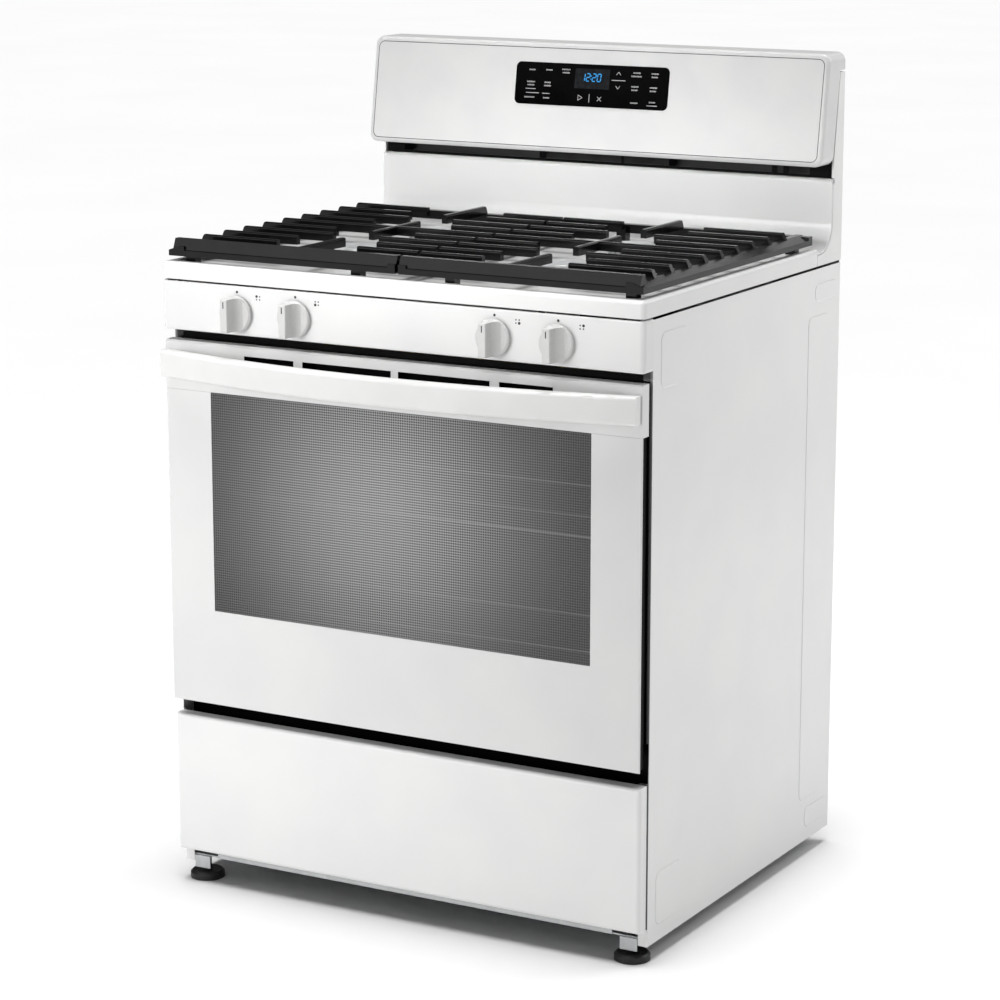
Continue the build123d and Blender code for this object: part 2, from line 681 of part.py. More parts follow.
INLET_RADIUS = 10.5
INLET_LENGTH = 16.0
ELBOW_RADIUS = 15.0
BONNET_RADIUS = 18.0
SPIGOT_RADIUS = 16.0
inlet_end = rear_inner - 2.0
with BuildPart() as pressure_regulator:
    rod((pipe_x, pipe_back_y, inlet_z + 10), (pipe_x, pipe_back_y, elbow_top), ELBOW_RADIUS)
    body_x = (pipe_x - 26, pipe_x + 16)
    block(body_x, (pipe_back_y - 26, pipe_back_y + 20), (inlet_z - 24, inlet_z + 12))
    bonnet_z = inlet_z - 4.0
    rod((inlet_x, pipe_back_y - 40, bonnet_z), (inlet_x, pipe_back_y - 20, bonnet_z), BONNET_RADIUS)
    rod((inlet_x, pipe_back_y + 18, inlet_z), (inlet_x, inlet_end, inlet_z), SPIGOT_RADIUS)
    bore_start = (inlet_x, inlet_end - INLET_LENGTH, inlet_z)
    rod(bore_start, (inlet_x, back, inlet_z), INLET_RADIUS, Mode.SUBTRACT)
save(pressure_regulator.part, "pressure_regulator")

stem_inner = valve_front + 12.5
with BuildPart() as valve_bodies:
    valve_z = (knob_z - VALVE_HALF, knob_z + VALVE_HALF)
    bore_end = stem_inner + 0.5
    for x in knob_spots:
        block((x - VALVE_HALF, x + VALVE_HALF), (valve_front, valve_back), valve_z)
        bore = STEM_RADIUS + STEM_FIT
        rod((x, valve_front - 1, knob_z), (x, bore_end, knob_z), bore, Mode.SUBTRACT)
save(valve_bodies.part, "valve_bodies")

TUBE_RADIUS = 3.2
TUBE_BEND = 22.0
with BuildPart() as burner_tubes:
    for side in (-1, 1):
        outer, inner = side * knob_spots[3], side * knob_spots[2]
        rear_end = side * (burner_x + BASE_HOLE + 0.2)
        with BuildLine():
            FilletPolyline(
                (outer, valve_back, knob_z),
                (outer, rear_burner_y, knob_z),
                (rear_end, rear_burner_y, knob_z),
                radius=TUBE_BEND,
            )
        with BuildSketch(Plane(origin=(outer, valve_back, knob_z), z_dir=(0, 1, 0))):
            Circle(TUBE_RADIUS)
        sweep()
        rod((inner, valve_back, knob_z), (inner, front_burner_y - BASE_HOLE - 0.2, knob_z), TUBE_RADIUS)
save(burner_tubes.part, "burner_tubes")

KNOB_RADIUS = 25.5
KNOB_GAP = 4.0
SKIRT_DEPTH = 5.0
KNOB_REACH = 35.0
GRIP_WIDTH = 11.5
GRIP_HALF = 23.0
STEM_FLAT = 2.6
GRIP_FLARE = 10.0
FLARE_RADIUS = 18.0
GRIP_EDGE = 1.5
SKIRT_BEVEL = 2.0
knob_back = fascia_front - KNOB_GAP
knob_front = fascia_front - KNOB_REACH
stem_front = knob_front + 7.0


def valve_stem(x):
    """A round stem with a flat where the knob fits."""
    with BuildPart() as stem:
        rod((x, stem_front, knob_z), (x, stem_inner, knob_z), STEM_RADIUS)
        flat_z = (knob_z + STEM_FLAT, knob_z + STEM_RADIUS + 1)
        block((x - STEM_RADIUS, x + STEM_RADIUS), (stem_front - 1, knob_back + 6), flat_z, Mode.SUBTRACT)
    return stem.part


def knob(x):
    """A bevelled skirt with an upright grip that flares into it."""
    with BuildPart() as body:
        with BuildSketch(Plane.XZ.offset(-knob_back)):
            with Locations((x, knob_z)):
                Circle(KNOB_RADIUS)
        extrude(amount=SKIRT_DEPTH)
        chamfer(body.edges().group_by(Axis.Y)[0], SKIRT_BEVEL)
        with BuildSketch(Plane.XY.offset(knob_z - GRIP_HALF)):
            with BuildLine():
                grip = GRIP_WIDTH / 2
                root = knob_back - SKIRT_DEPTH + 0.5
                waist = knob_front + 14
                Line((x - grip, knob_front), (x + grip, knob_front))
                Line((x + grip, knob_front), (x + grip, waist))
                RadiusArc((x + grip, waist), (x + grip + GRIP_FLARE, root), FLARE_RADIUS)
                Line((x + grip + GRIP_FLARE, root), (x - grip - GRIP_FLARE, root))
                RadiusArc((x - grip - GRIP_FLARE, root), (x - grip, waist), FLARE_RADIUS)
                Line((x - grip, waist), (x - grip, knob_front))
            make_face()
        extrude(amount=GRIP_HALF * 2)
        with BuildSketch(Plane.XZ.offset(-knob_back)):
            with Locations((x, knob_z)):
                Circle(KNOB_RADIUS)
        extrude(amount=KNOB_REACH, mode=Mode.INTERSECT)
        front_edges = body.faces().sort_by(Axis.Y)[0].edges()
        fillet(front_edges, GRIP_EDGE)
        with BuildSketch(Plane.XZ.offset(-knob_back)):
            with Locations((x, knob_z)):
                Circle(STEM_RADIUS + STEM_FIT)
            with Locations((x, knob_z + STEM_FLAT + STEM_FIT + 3)):
                Rectangle(12, 6, mode=Mode.SUBTRACT)
        extrude(amount=knob_back - stem_front + 4.5, mode=Mode.SUBTRACT)
    return body.part


for number, x in enumerate(knob_spots, start=1):
    save(valve_stem(x), f"valve_stem_{number}")
    save(knob(x), f"knob_{number}")

# Oven door, from the white front to the plug that enters the oven mouth.
PANEL_SHEET = 3.0
pan_front = door_front + PANEL_SHEET
door_pan_half = door_half - 3.5
EDGE_ROUND = 2.0

with BuildPart() as door_outer_panel:
    block(both(door_half), (door_front, pan_front), (door_bottom, window_top - GAP))
    fillet(door_outer_panel.faces().sort_by(Axis.Y)[0].edges().sort_by(Axis.Z)[:-1], EDGE_ROUND)
    window_z = (window_bottom, window_top + 1)
    block(both(window_half), (door_front - 1, pan_front + 1), window_z, Mode.SUBTRACT)
save(door_outer_panel.part, "door_outer_panel")

GLASS = 4.0
GLASS_GAP = 0.4
with BuildPart() as door_glass_outer:
    glass_z = (window_bottom + GLASS_GAP, window_top - GLASS_GAP)
    glass_y = (door_front + GAP, door_front + GAP + GLASS)
    block(both(window_half - GLASS_GAP), glass_y, glass_z)
save(door_glass_outer.part, "door_glass_outer")

trim_back = door_back - SHEET - 0.2
TRIM_WALL = 2.5
recess_face = door_front + 10.0
slot_low = 776.0
slot_high = 789.0
scoop_low = window_top + 6.0
scoop_high = slot_high + 9.0
SCOOP_HALF = 366.0
SCOOP_SLOPE = 16.0
SCOOP_OVERRUN = 20.0
TRIM_BEVEL = 3.0
air_slots = ((6.0, 148.0), (163.0, 244.0))
with BuildPart() as door_top_trim:
    block(both(door_half), (door_front, trim_back), (window_top, door_top))
    chamfer(door_top_trim.faces().sort_by(Axis.Y)[0].edges().sort_by(Axis.Z)[-1], TRIM_BEVEL)
    scoop_front = door_front - SCOOP_OVERRUN
    scoop_rise = (scoop_high - scoop_low) / 2
    for rise in (scoop_rise, -scoop_rise):
        with BuildSketch(Plane.XY.offset(scoop_low + scoop_rise)):
            with BuildLine():
                ThreePointArc((-SCOOP_HALF, door_front), (0, recess_face), (SCOOP_HALF, door_front))
                Polyline(
                    (SCOOP_HALF, door_front),
                    (SCOOP_HALF, scoop_front),
                    (-SCOOP_HALF, scoop_front),
                    (-SCOOP_HALF, door_front),
                )
            make_face()
        extrude(amount=rise, taper=SCOOP_SLOPE, mode=Mode.SUBTRACT)
    inner_y = (recess_face + TRIM_WALL, trim_back + 1)
    inner_z = (window_top + TRIM_WALL, door_top - TRIM_WALL)
    block(both(door_half - TRIM_WALL), inner_y, inner_z, Mode.SUBTRACT)
    slot_y = (door_front, trim_back + 1)
    for low, high in air_slots:
        for side in (-1, 1):
            block((side * low, side * high), slot_y, (slot_low, slot_high), Mode.SUBTRACT)
save(door_top_trim.part, "door_top_trim")

pan_low = door_bottom + 2.0
pan_high = window_top - 0.6
cover_top = door_top - 1.0
liner_half = 338.0
liner_low = 314.0
liner_high = 768.0
LINER_LAP = 12.0
cheek = 3.0
HINGE_GAP = 0.4
cheek_inner = ARM_THICKNESS / 2 + HINGE_GAP
cheek_outer = cheek_inner + cheek
cheek_low = hinge_z - 9.0

with BuildPart() as door_frame:
    rear_wall = (door_back - SHEET, door_back)
    block(both(door_pan_half), (pan_front + 0.1, door_back), (pan_low, pan_high))
    inner_y = (pan_front, door_back - SHEET)
    block(both(door_pan_half - SHEET), inner_y, (pan_low + SHEET, pan_high + 1), Mode.SUBTRACT)
    block(both(door_pan_half), rear_wall, (pan_low, cover_top))
    opening_z = (liner_low + LINER_LAP, liner_high - LINER_LAP)
    block(both(liner_half - LINER_LAP), (pan_front, door_back + 1), opening_z, Mode.SUBTRACT)
    for side in (-1, 1):
        slot_x = (side * hinge_x - cheek_outer - 0.5, side * hinge_x + cheek_outer + 0.5)
        block(slot_x, (door_back - 3, door_back + 1), (cheek_low - 1, hinge_z + 12), Mode.SUBTRACT)
save(door_frame.part, "door_frame")

plug_half = 285.0
plug_low = mouth_bottom + 7.0
plug_high = mouth_top - 7.0
plug_back = -250.0
PLUG_ROUND = 12.0
inner_window_half = 215.0
inner_window_low = 430.0
inner_window_high = 650.0
with BuildPart() as door_liner:
    block(both(liner_half), (door_back, door_back + SHEET), (liner_low, liner_high))
    block(both(plug_half), (door_back, plug_back), (plug_low, plug_high))
    fillet(door_liner.edges().filter_by(Axis.Y).group_by(SortBy.LENGTH)[-1], PLUG_ROUND)
    inner_z = (plug_low + SHEET, plug_high - SHEET)
    block(both(plug_half - SHEET), (door_back - 1, plug_back - SHEET), inner_z, Mode.SUBTRACT)
    window_z = (inner_window_low, inner_window_high)
    block(both(inner_window_half), (door_back, plug_back + 1), window_z, Mode.SUBTRACT)
save(door_liner.part, "door_liner")

with BuildPart() as door_glass_inner:
    glass_y = (plug_back - SHEET - GLASS, plug_back - SHEET)
    glass_z = (inner_window_low - LINER_LAP, inner_window_high + LINER_LAP)
    block(both(inner_window_half + LINER_LAP), glass_y, glass_z)
save(door_glass_inner.part, "door_glass_inner")

GASKET_WIDTH = 11.0
GASKET_LAP = 6.0
GASKET_ROUND = 14.0
gasket_half = mouth_half + GASKET_LAP
with BuildPart() as door_gasket:
    with BuildSketch(Plane.XZ.offset(-(door_back + SHEET))):
        with Locations((0, (mouth_bottom + mouth_top) / 2)):
            ring_height = mouth_top - mouth_bottom + 2 * GASKET_LAP
            outer_height = ring_height + GASKET_WIDTH * 2
            RectangleRounded((gasket_half + GASKET_WIDTH) * 2, outer_height, GASKET_ROUND + GASKET_WIDTH)
            RectangleRounded(gasket_half * 2, ring_height, GASKET_ROUND, mode=Mode.SUBTRACT)
    extrude(amount=-(frame_front - GAP - door_back - SHEET))
save(door_gasket.part, "door_gasket")

HANDLE_HALF = 375.0
HANDLE_LOW = 751.5
HANDLE_HIGH = 790.0
HANDLE_THICK = 15.0
HANDLE_END = 17.0
POST_WIDTH = 24.0
HANDLE_EDGE = 5.0
with BuildPart() as door_handle:
    end_front = door_front - HANDLE_END
    with BuildSketch(Plane.XY.offset(HANDLE_LOW)):
        with BuildLine():
            ThreePointArc((-HANDLE_HALF, end_front), (0, handle_front), (HANDLE_HALF, end_front))
            Line((HANDLE_HALF, end_front), (HANDLE_HALF, end_front + HANDLE_THICK))
            ThreePointArc(
                (HANDLE_HALF, end_front + HANDLE_THICK),
                (0, handle_front + HANDLE_THICK),
                (-HANDLE_HALF, end_front + HANDLE_THICK),
            )
            Line((-HANDLE_HALF, end_front + HANDLE_THICK), (-HANDLE_HALF, end_front))
        make_face()
    extrude(amount=HANDLE_HIGH - HANDLE_LOW)
    bow_edges = door_handle.edges().filter_by(GeomType.CIRCLE).group_by(Axis.Y)[0]
    fillet(bow_edges, HANDLE_EDGE)
    for side in (-1, 1):
        post_x = (side * (HANDLE_HALF - POST_WIDTH), side * (HANDLE_HALF - 2))
        block(post_x, (end_front + 8, door_front), (HANDLE_LOW + 2, HANDLE_HIGH - 2))
    recess = (door_front, door_front + 12)
    block(both(HANDLE_HALF), recess, (HANDLE_LOW, HANDLE_HIGH), Mode.SUBTRACT)
save(door_handle.part, "door_handle")

# Door hinges: a channel in the door, a pin on the axis and an arm fixed to the frame.
PIN_RADIUS = 3.0
PIN_FIT = 0.05
EYE_RADIUS = 7.0
channel_front = pan_front + 2.0
CHANNEL_HEIGHT = 130.0
with BuildPart() as hinge_bodies:
    for side in (-1, 1):
        x = side * hinge_x
        channel_z = (cheek_low, cheek_low + CHANNEL_HEIGHT)
        block((x - cheek_outer, x + cheek_outer), (channel_front, channel_front + 2), channel_z)
        for hand in (-1, 1):
            cheek_x = (x + hand * cheek_inner, x + hand * cheek_outer)
            block(cheek_x, (channel_front, door_back - SHEET - 0.2), channel_z)
            block(cheek_x, (door_back - 5, hinge_y + 8), (cheek_low, hinge_z + 9))
        bore_start = (x - cheek_outer - 1, hinge_y, hinge_z)
        rod(bore_start, (x + cheek_outer + 1, hinge_y, hinge_z), PIN_RADIUS, Mode.SUBTRACT)
save(hinge_bodies.part, "door_hinge_bodies")

with BuildPart() as hinge_pins:
    for side in (-1, 1):
        x = side * hinge_x
        rod((x - cheek_outer, hinge_y, hinge_z), (x + cheek_outer, hinge_y, hinge_z), PIN_RADIUS)
save(hinge_pins.part, "hinge_pins")

arm_rear = -190.0
PLATE = 22.0
plate_y = recess_wall + FRAME_SHEET
with BuildPart() as hinge_arms:
    for side in (-1, 1):
        x = side * hinge_x
        arm_x = (x - ARM_THICKNESS / 2, x + ARM_THICKNESS / 2)
        rod((arm_x[0], hinge_y, hinge_z), (arm_x[1], hinge_y, hinge_z), EYE_RADIUS)
        block(arm_x, (hinge_y, arm_rear), (hinge_z - ARM_HALF_HEIGHT, hinge_z + ARM_HALF_HEIGHT))
        block((x, x + side * PLATE), (plate_y, plate_y + 3), (hinge_z - PLATE / 2, hinge_z + PLATE / 2))
        bore_start = (arm_x[0] - 1, hinge_y, hinge_z)
        rod(bore_start, (arm_x[1] + 1, hinge_y, hinge_z), PIN_RADIUS + PIN_FIT, Mode.SUBTRACT)
save(hinge_arms.part, "hinge_arms")

# Drawer under the oven.
DRAWER_ROUND = 6.0
drawer_plate_back = drawer_front_y + 20.0
drawer_inner_back = -244.0
drawer_box_half = 354.0
DRAWER_WALL = 4.0
with BuildPart() as drawer_front:
    block(both(door_half), (drawer_front_y, drawer_plate_back), (drawer_bottom, drawer_top))
    fillet(drawer_front.faces().sort_by(Axis.Y)[0].edges(), DRAWER_ROUND)
    box_z = (drawer_bottom + 12, drawer_top - 18)
    block(both(drawer_box_half), (drawer_plate_back, drawer_inner_back), box_z)
    hollow_y = (drawer_plate_back - 16, drawer_inner_back - 2)
    hollow_z = (box_z[0] + DRAWER_WALL, box_z[1] - DRAWER_WALL)
    block(both(drawer_box_half - DRAWER_WALL), hollow_y, hollow_z, Mode.SUBTRACT)
save(drawer_front.part, "drawer_front")

pan_half = 330.0
PAN_RIM = 22.0
RIM_SHEET = 2.0
drawer_pan_low = 70.0
drawer_pan_high = 224.0
drawer_back = 190.0
with BuildPart() as drawer_pan:
    block(both(pan_half), (drawer_inner_back, drawer_back), (drawer_pan_low, drawer_pan_high))
    pan_y = (drawer_inner_back + SHEET, drawer_back - SHEET)
    block(both(pan_half - SHEET), pan_y, (drawer_pan_low + SHEET, drawer_pan_high + 1), Mode.SUBTRACT)
    for side in (-1, 1):
        rim_x = (side * (pan_half - SHEET), side * (pan_half + PAN_RIM))
        block(rim_x, (drawer_inner_back, drawer_back), (drawer_pan_high - RIM_SHEET, drawer_pan_high))
save(drawer_pan.part, "drawer_pan")

RAIL_SHEET = 2.0
RAIL_LIP = 16.0
rail_inner = pan_half + 8.0
rail_y = (recess_wall + 4.0, 235.0)
rail_top_z = drawer_pan_high - RAIL_SHEET - 0.5
with BuildPart() as drawer_rails:
    for side in (-1, 1):
        rail_x = (side * rail_inner, side * (panel_inner - 0.2))
        block(rail_x, rail_y, (rail_top_z - RAIL_SHEET, rail_top_z))
        lip_x = (side * rail_inner, side * (rail_inner + RAIL_SHEET))
        block(lip_x, rail_y, (rail_top_z - RAIL_LIP, rail_top_z))
save(drawer_rails.part, "drawer_rails")

# Backguard: end caps, vent slot, leaning console and its controls.
console_low_y = 267.0
console_high_y = 292.0
CONSOLE_DEPTH = 42.0
CONSOLE_WALL = 2.5
CONSOLE_ROUND = 13.0
CONSOLE_EDGE = 6.0
wrap_low = end_cap_top + 3.0
rear_slope = (console_high_y - console_low_y) / (HEIGHT - console_bottom)
lean = math.atan(rear_slope)
console_rise = (HEIGHT - console_bottom) / math.cos(lean)
console_face = Plane(
    origin=(0, (console_low_y + console_high_y) / 2, (console_bottom + HEIGHT) / 2),
    x_dir=(1, 0, 0),
    z_dir=(0, -math.cos(lean), math.sin(lean)),
)
BORDER_INSET = 7.0
BORDER_ROUND = 10.0
GROOVE = 1.1
seam_low_y = console_low_y + CONSOLE_DEPTH
seam_high_y = seam_low_y + rear_slope * (wrap_low - console_bottom)

with BuildPart() as console:
    with BuildSketch(Plane.YZ):
        with BuildLine():
            Polyline(
                (console_low_y, console_bottom),
                (console_high_y, HEIGHT),
                (back, HEIGHT),
                (back, wrap_low),
                (seam_high_y, wrap_low),
                (seam_low_y, console_bottom),
                close=True,
            )
        make_face()
    extrude(amount=half, both=True)
    corners = console.edges().filter_by(Axis.Y).group_by(Axis.Z)
    fillet(corners[0] + corners[-1], CONSOLE_ROUND)
    fillet(console.faces().sort_by(Axis.Y)[0].edges(), CONSOLE_EDGE)
    with BuildSketch(Plane.YZ):
        with BuildLine():
            low = console_bottom + CONSOLE_WALL
            high = HEIGHT - CONSOLE_WALL
            Polyline(
                (console_low_y + 5, low),
                (console_high_y + 4, high),
                (back + 1, high),
                (back + 1, wrap_low + CONSOLE_WALL),
                (seam_high_y + 2, wrap_low + CONSOLE_WALL),
                (seam_low_y + 2, low),
                close=True,
            )
        make_face()
    extrude(amount=half - 5, both=True, mode=Mode.SUBTRACT)
    with BuildSketch(console_face):
        border = (WIDTH - 2 * BORDER_INSET, console_rise - 2 * BORDER_INSET)
        RectangleRounded(*border, BORDER_ROUND)
        within = (border[0] - 2 * GROOVE, border[1] - 2 * GROOVE)
        RectangleRounded(*within, BORDER_ROUND - GROOVE, mode=Mode.SUBTRACT)
    extrude(amount=-GROOVE, mode=Mode.SUBTRACT)
save(console.part, "console")


def end_cap(side):
    """The side cover between the riser, the console and the back."""
    gap = 0.9
    cove = COVE_RADIUS + PAN_SHEET + gap
    cap_front = cove_start + cove
    notch_y = riser_front + RISER_ROUND + gap
    with BuildPart() as cap:
        with BuildSketch(Plane.YZ.offset(side * half)):
            with BuildLine():
                low_y = lip_rear + 1
                low_z = pan_z - PAN_SHEET - gap
                Line((low_y, lip_bottom), (low_y, low_z))
                Line((low_y, low_z), (cove_start, low_z))
                CenterArc((cove_start, pan_z + COVE_RADIUS), cove, -90, 90)
                Polyline(
                    (cap_front, pan_z + COVE_RADIUS),
                    (cap_front, vent_bottom - RISER_ROUND - gap),
                    (notch_y, vent_bottom - RISER_ROUND - gap),
                    (notch_y, vent_bottom + gap),
                    (cap_front, vent_bottom + gap),
                    (cap_front, console_bottom),
                    (seam_high_y + gap, end_cap_top),
                    (back, end_cap_top),
                    (back, lip_bottom),
                    (low_y, lip_bottom),
                )
            make_face()
        extrude(amount=-side * CAP_SHEET)
    return cap.part


with BuildPart() as end_caps:
    add(end_cap(-1))
    add(end_cap(1))
save(end_caps.part, "backguard_end_caps")

vent_slots = ((-345.0, 33.0), (37.0, 280.0), (288.0, 298.0), (306.0, 340.0))
vent_slot_z = (vent_bottom + 4.0, console_bottom - 3.0)
with BuildPart() as vent_grille:
    grille_y = (riser_front + RISER_ROUND + 1, riser_front + RISER_ROUND + 3)
    grille_half = half - CAP_SHEET - 1
    block(both(grille_half), grille_y, (vent_bottom - 6, console_bottom - GAP))
    for slot in vent_slots:
        block(slot, (grille_y[0] - 1, grille_y[1] + 1), vent_slot_z, Mode.SUBTRACT)
save(vent_grille.part, "vent_grille")

OVERLAY_WIDTH = 256.0
OVERLAY_HEIGHT = 63.0
OVERLAY_THICK = 0.8
OVERLAY_ROUND = 8.0
overlay_z = 1131.0
overlay_y = console_low_y + rear_slope * (overlay_z - console_bottom)
face_plane = Plane(origin=(0, overlay_y, overlay_z), x_dir=(1, 0, 0), z_dir=console_face.z_dir)
with BuildPart() as control_overlay:
    with BuildSketch(face_plane):
        RectangleRounded(OVERLAY_WIDTH, OVERLAY_HEIGHT, OVERLAY_ROUND)
    extrude(amount=OVERLAY_THICK)
save(control_overlay.part, "control_overlay")

BOARD_DEPTH = 16.0
BOARD = (230.0, 70.0, 1.6)
RELAY = (36.0, 30.0, 10.0)
relay_spots = ((-70.0, 0.0), (60.0, 0.0))
with BuildPart() as control_board:
    with BuildSketch(face_plane.offset(-BOARD_DEPTH)):
        Rectangle(BOARD[0], BOARD[1])
    extrude(amount=BOARD[2])
    with BuildSketch(face_plane.offset(-BOARD_DEPTH)):
        with Locations(*relay_spots):
            Rectangle(RELAY[0], RELAY[1])
    extrude(amount=-RELAY[2])
save(control_board.part, "control_board")

# Hexagon screws on the back and in the recess above the drawer.
with BuildPart() as panel_screws:
    with BuildSketch(Plane.XZ.offset(-back)):
        with Locations((0, (rear_panel_bottom + rear_panel_top) / 2)):
            with GridLocations(2 * half - 40, 200, 2, 5):
                RegularPolygon(SCREW_RADIUS, 6)
        with Locations((0, (rear_panel_top + end_cap_top) / 2)):
            with GridLocations(2 * half - 60, 200, 2, 2):
                RegularPolygon(SCREW_RADIUS, 6)
    extrude(amount=-SCREW_HEAD)
    with BuildSketch(Plane.XZ.offset(-recess_wall)):
        with Locations((0, (drawer_top + door_bottom) / 2)):
            with GridLocations(180, 1, 4, 1):
                RegularPolygon(SCREW_RADIUS, 6)
    extrude(amount=SCREW_HEAD)
save(panel_screws.part, "panel_screws")
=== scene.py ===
import json
import math
from types import SimpleNamespace

import bmesh
import bpy
from mathutils import Matrix, Vector


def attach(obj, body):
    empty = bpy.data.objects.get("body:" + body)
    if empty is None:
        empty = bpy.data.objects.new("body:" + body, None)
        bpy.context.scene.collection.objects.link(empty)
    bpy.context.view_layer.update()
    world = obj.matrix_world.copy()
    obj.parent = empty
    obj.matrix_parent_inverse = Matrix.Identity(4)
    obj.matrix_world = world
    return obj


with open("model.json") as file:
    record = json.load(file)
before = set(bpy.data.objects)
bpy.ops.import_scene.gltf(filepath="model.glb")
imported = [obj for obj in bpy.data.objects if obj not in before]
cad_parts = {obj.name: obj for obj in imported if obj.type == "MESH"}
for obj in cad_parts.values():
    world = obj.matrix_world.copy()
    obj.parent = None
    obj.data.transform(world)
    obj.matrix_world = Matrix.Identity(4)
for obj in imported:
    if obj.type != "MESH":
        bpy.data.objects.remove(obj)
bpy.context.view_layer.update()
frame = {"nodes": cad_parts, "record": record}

MM = 0.001


def linear(code):
    """A linear colour from an sRGB hex code."""
    channels = [int(code[start : start + 2], 16) / 255 for start in (1, 3, 5)]
    return [c / 12.92 if c <= 0.04045 else ((c + 0.055) / 1.055) ** 2.4 for c in channels] + [1.0]


def add(tree, kind, sockets=None, **traits):
    """Adds one node: traits are its own settings, sockets are values or the outputs that feed it."""
    made = tree.nodes.new(kind)
    for trait, value in traits.items():
        setattr(made, trait, value)
    for socket, value in (sockets or {}).items():
        if isinstance(value, bpy.types.NodeSocket):
            tree.links.new(value, made.inputs[socket])
        else:
            made.inputs[socket].default_value = value
    return made


def new_finish(name, **surface):
    """A material with one principled surface, and its coordinates in the model's frame."""
    material = bpy.data.materials.new(name)
    material.use_nodes = True
    tree = material.node_tree
    tree.nodes.clear()
    sockets = {socket.replace("_", " "): value for socket, value in surface.items()}
    shader = add(tree, "ShaderNodeBsdfPrincipled", sockets)
    add(tree, "ShaderNodeOutputMaterial", {"Surface": shader.outputs[0]})
    place = add(tree, "ShaderNodeTexCoord").outputs["Object"]
    return SimpleNamespace(material=material, tree=tree, shader=shader, place=place)


def feed(finish, socket, output):
    """Feeds one of the surface's sockets from a node's output."""
    finish.tree.links.new(output, finish.shader.inputs[socket])


def lumps(finish, size_mm, detail):
    """What a noise needs for lumps about this many millimetres across."""
    return {"Vector": finish.place, "Scale": 1 / (size_mm * MM), "Detail": detail}


def tint(finish, mask, dark, light, low=0.35, high=0.65):
    """Colours the surface from one code to another by a mask."""
    ramp = add(finish.tree, "ShaderNodeValToRGB", {0: mask})
    first, last = ramp.color_ramp.elements
    first.position = low
    last.position = high
    first.color = linear(dark)
    last.color = linear(light)
    feed(finish, "Base Color", ramp.outputs[0])


def cloud(finish, size_mm, dark, light, detail=2.0):
    """Clouds the colour between two codes, in lumps of a size in millimetres."""
    noise = add(finish.tree, "ShaderNodeTexNoise", lumps(finish, size_mm, detail))
    tint(finish, noise.outputs[0], dark, light)


def vary_gloss(finish, size_mm, low, high, detail=2.0):
    """Varies the gloss between two roughness values, in lumps of a size in millimetres."""
    noise = add(finish.tree, "ShaderNodeTexNoise", lumps(finish, size_mm, detail))
    spread = {"Value": noise.outputs[0], "To Min": low, "To Max": high}
    feed(finish, "Roughness", add(finish.tree, "ShaderNodeMapRange", spread).outputs[0])


def raise_grain(finish, size_mm, depth_mm, strength, detail=2.0):
    """Raises a grain of a depth in millimetres, in lumps of a size in millimetres."""
    noise = add(finish.tree, "ShaderNodeTexNoise", lumps(finish, size_mm, detail))
    relief = {"Height": noise.outputs[0], "Distance": depth_mm * MM, "Strength": strength}
    feed(finish, "Normal", add(finish.tree, "ShaderNodeBump", relief).outputs[0])


def coat(finish, mask, colour):
    """Paints a colour over what the surface already has, as far as the mask covers it."""
    under = finish.shader.inputs["Base Color"].links[0].from_socket
    painted = add(finish.tree, "ShaderNodeMix", {"Factor": mask, 6: under, 7: colour}, data_type="RGBA")
    feed(finish, "Base Color", painted.outputs[2])


def overlap(finish, *masks):
    """Where all of the masks cover the surface."""
    shared = masks[0]
    for mask in masks[1:]:
        shared = add(finish.tree, "ShaderNodeMath", {0: shared, 1: mask}, operation="MULTIPLY").outputs[0]
    return shared


# Vitreous enamel on steel: a hard white glaze, with a faint orange peel in its reflections.
def vitreous_enamel(name, dark, light, gloss=0.16):
    finish = new_finish(name, IOR=1.52)
    cloud(finish, 140, dark, light)
    vary_gloss(finish, 5, gloss - 0.03, gloss + 0.05, detail=1.0)
    raise_grain(finish, 5, 0.02, 0.4, detail=1.0)
    return finish


# Moulded ABS: a warm-neutral white with the fine spark-eroded grain of its mould. The real grain is
# near 0.1 mm, drawn at 1.2 mm so that it shows.
def moulded_abs(name, dark, light, rough=0.34):
    finish = new_finish(name, IOR=1.53)
    cloud(finish, 60, dark, light)
    vary_gloss(finish, 1.2, rough - 0.05, rough + 0.06)
    raise_grain(finish, 1.2, 0.012, 0.5)
    return finish


white_enamel = vitreous_enamel("vitreous_enamel_white", "#dfdfdf", "#e3e3e2")
door_enamel = vitreous_enamel("vitreous_enamel_door", "#dadada", "#dededd")
white_abs = moulded_abs("abs_white", "#dfdfde", "#e3e3e2")
# The console is a darker copy of the white ABS, as painted shade: it dims the leaning face, which catches
# more of the overhead light than the riser below it.
console_abs_shaded = moulded_abs("abs_console_white_shaded", "#cfcfcf", "#d3d3d2")
# The knobs are a darker copy of the white ABS, as painted shade for the shaded sides of their grips.
knob_abs_shaded = moulded_abs("abs_knob_white_shaded", "#c8c8c7", "#cececd", 0.28)

# The drawer's front is powder coated: a slightly lighter white with the same orange peel, but duller.
drawer_paint = vitreous_enamel("powder_coat_drawer", "#e6e6e6", "#eaeae9", 0.3)

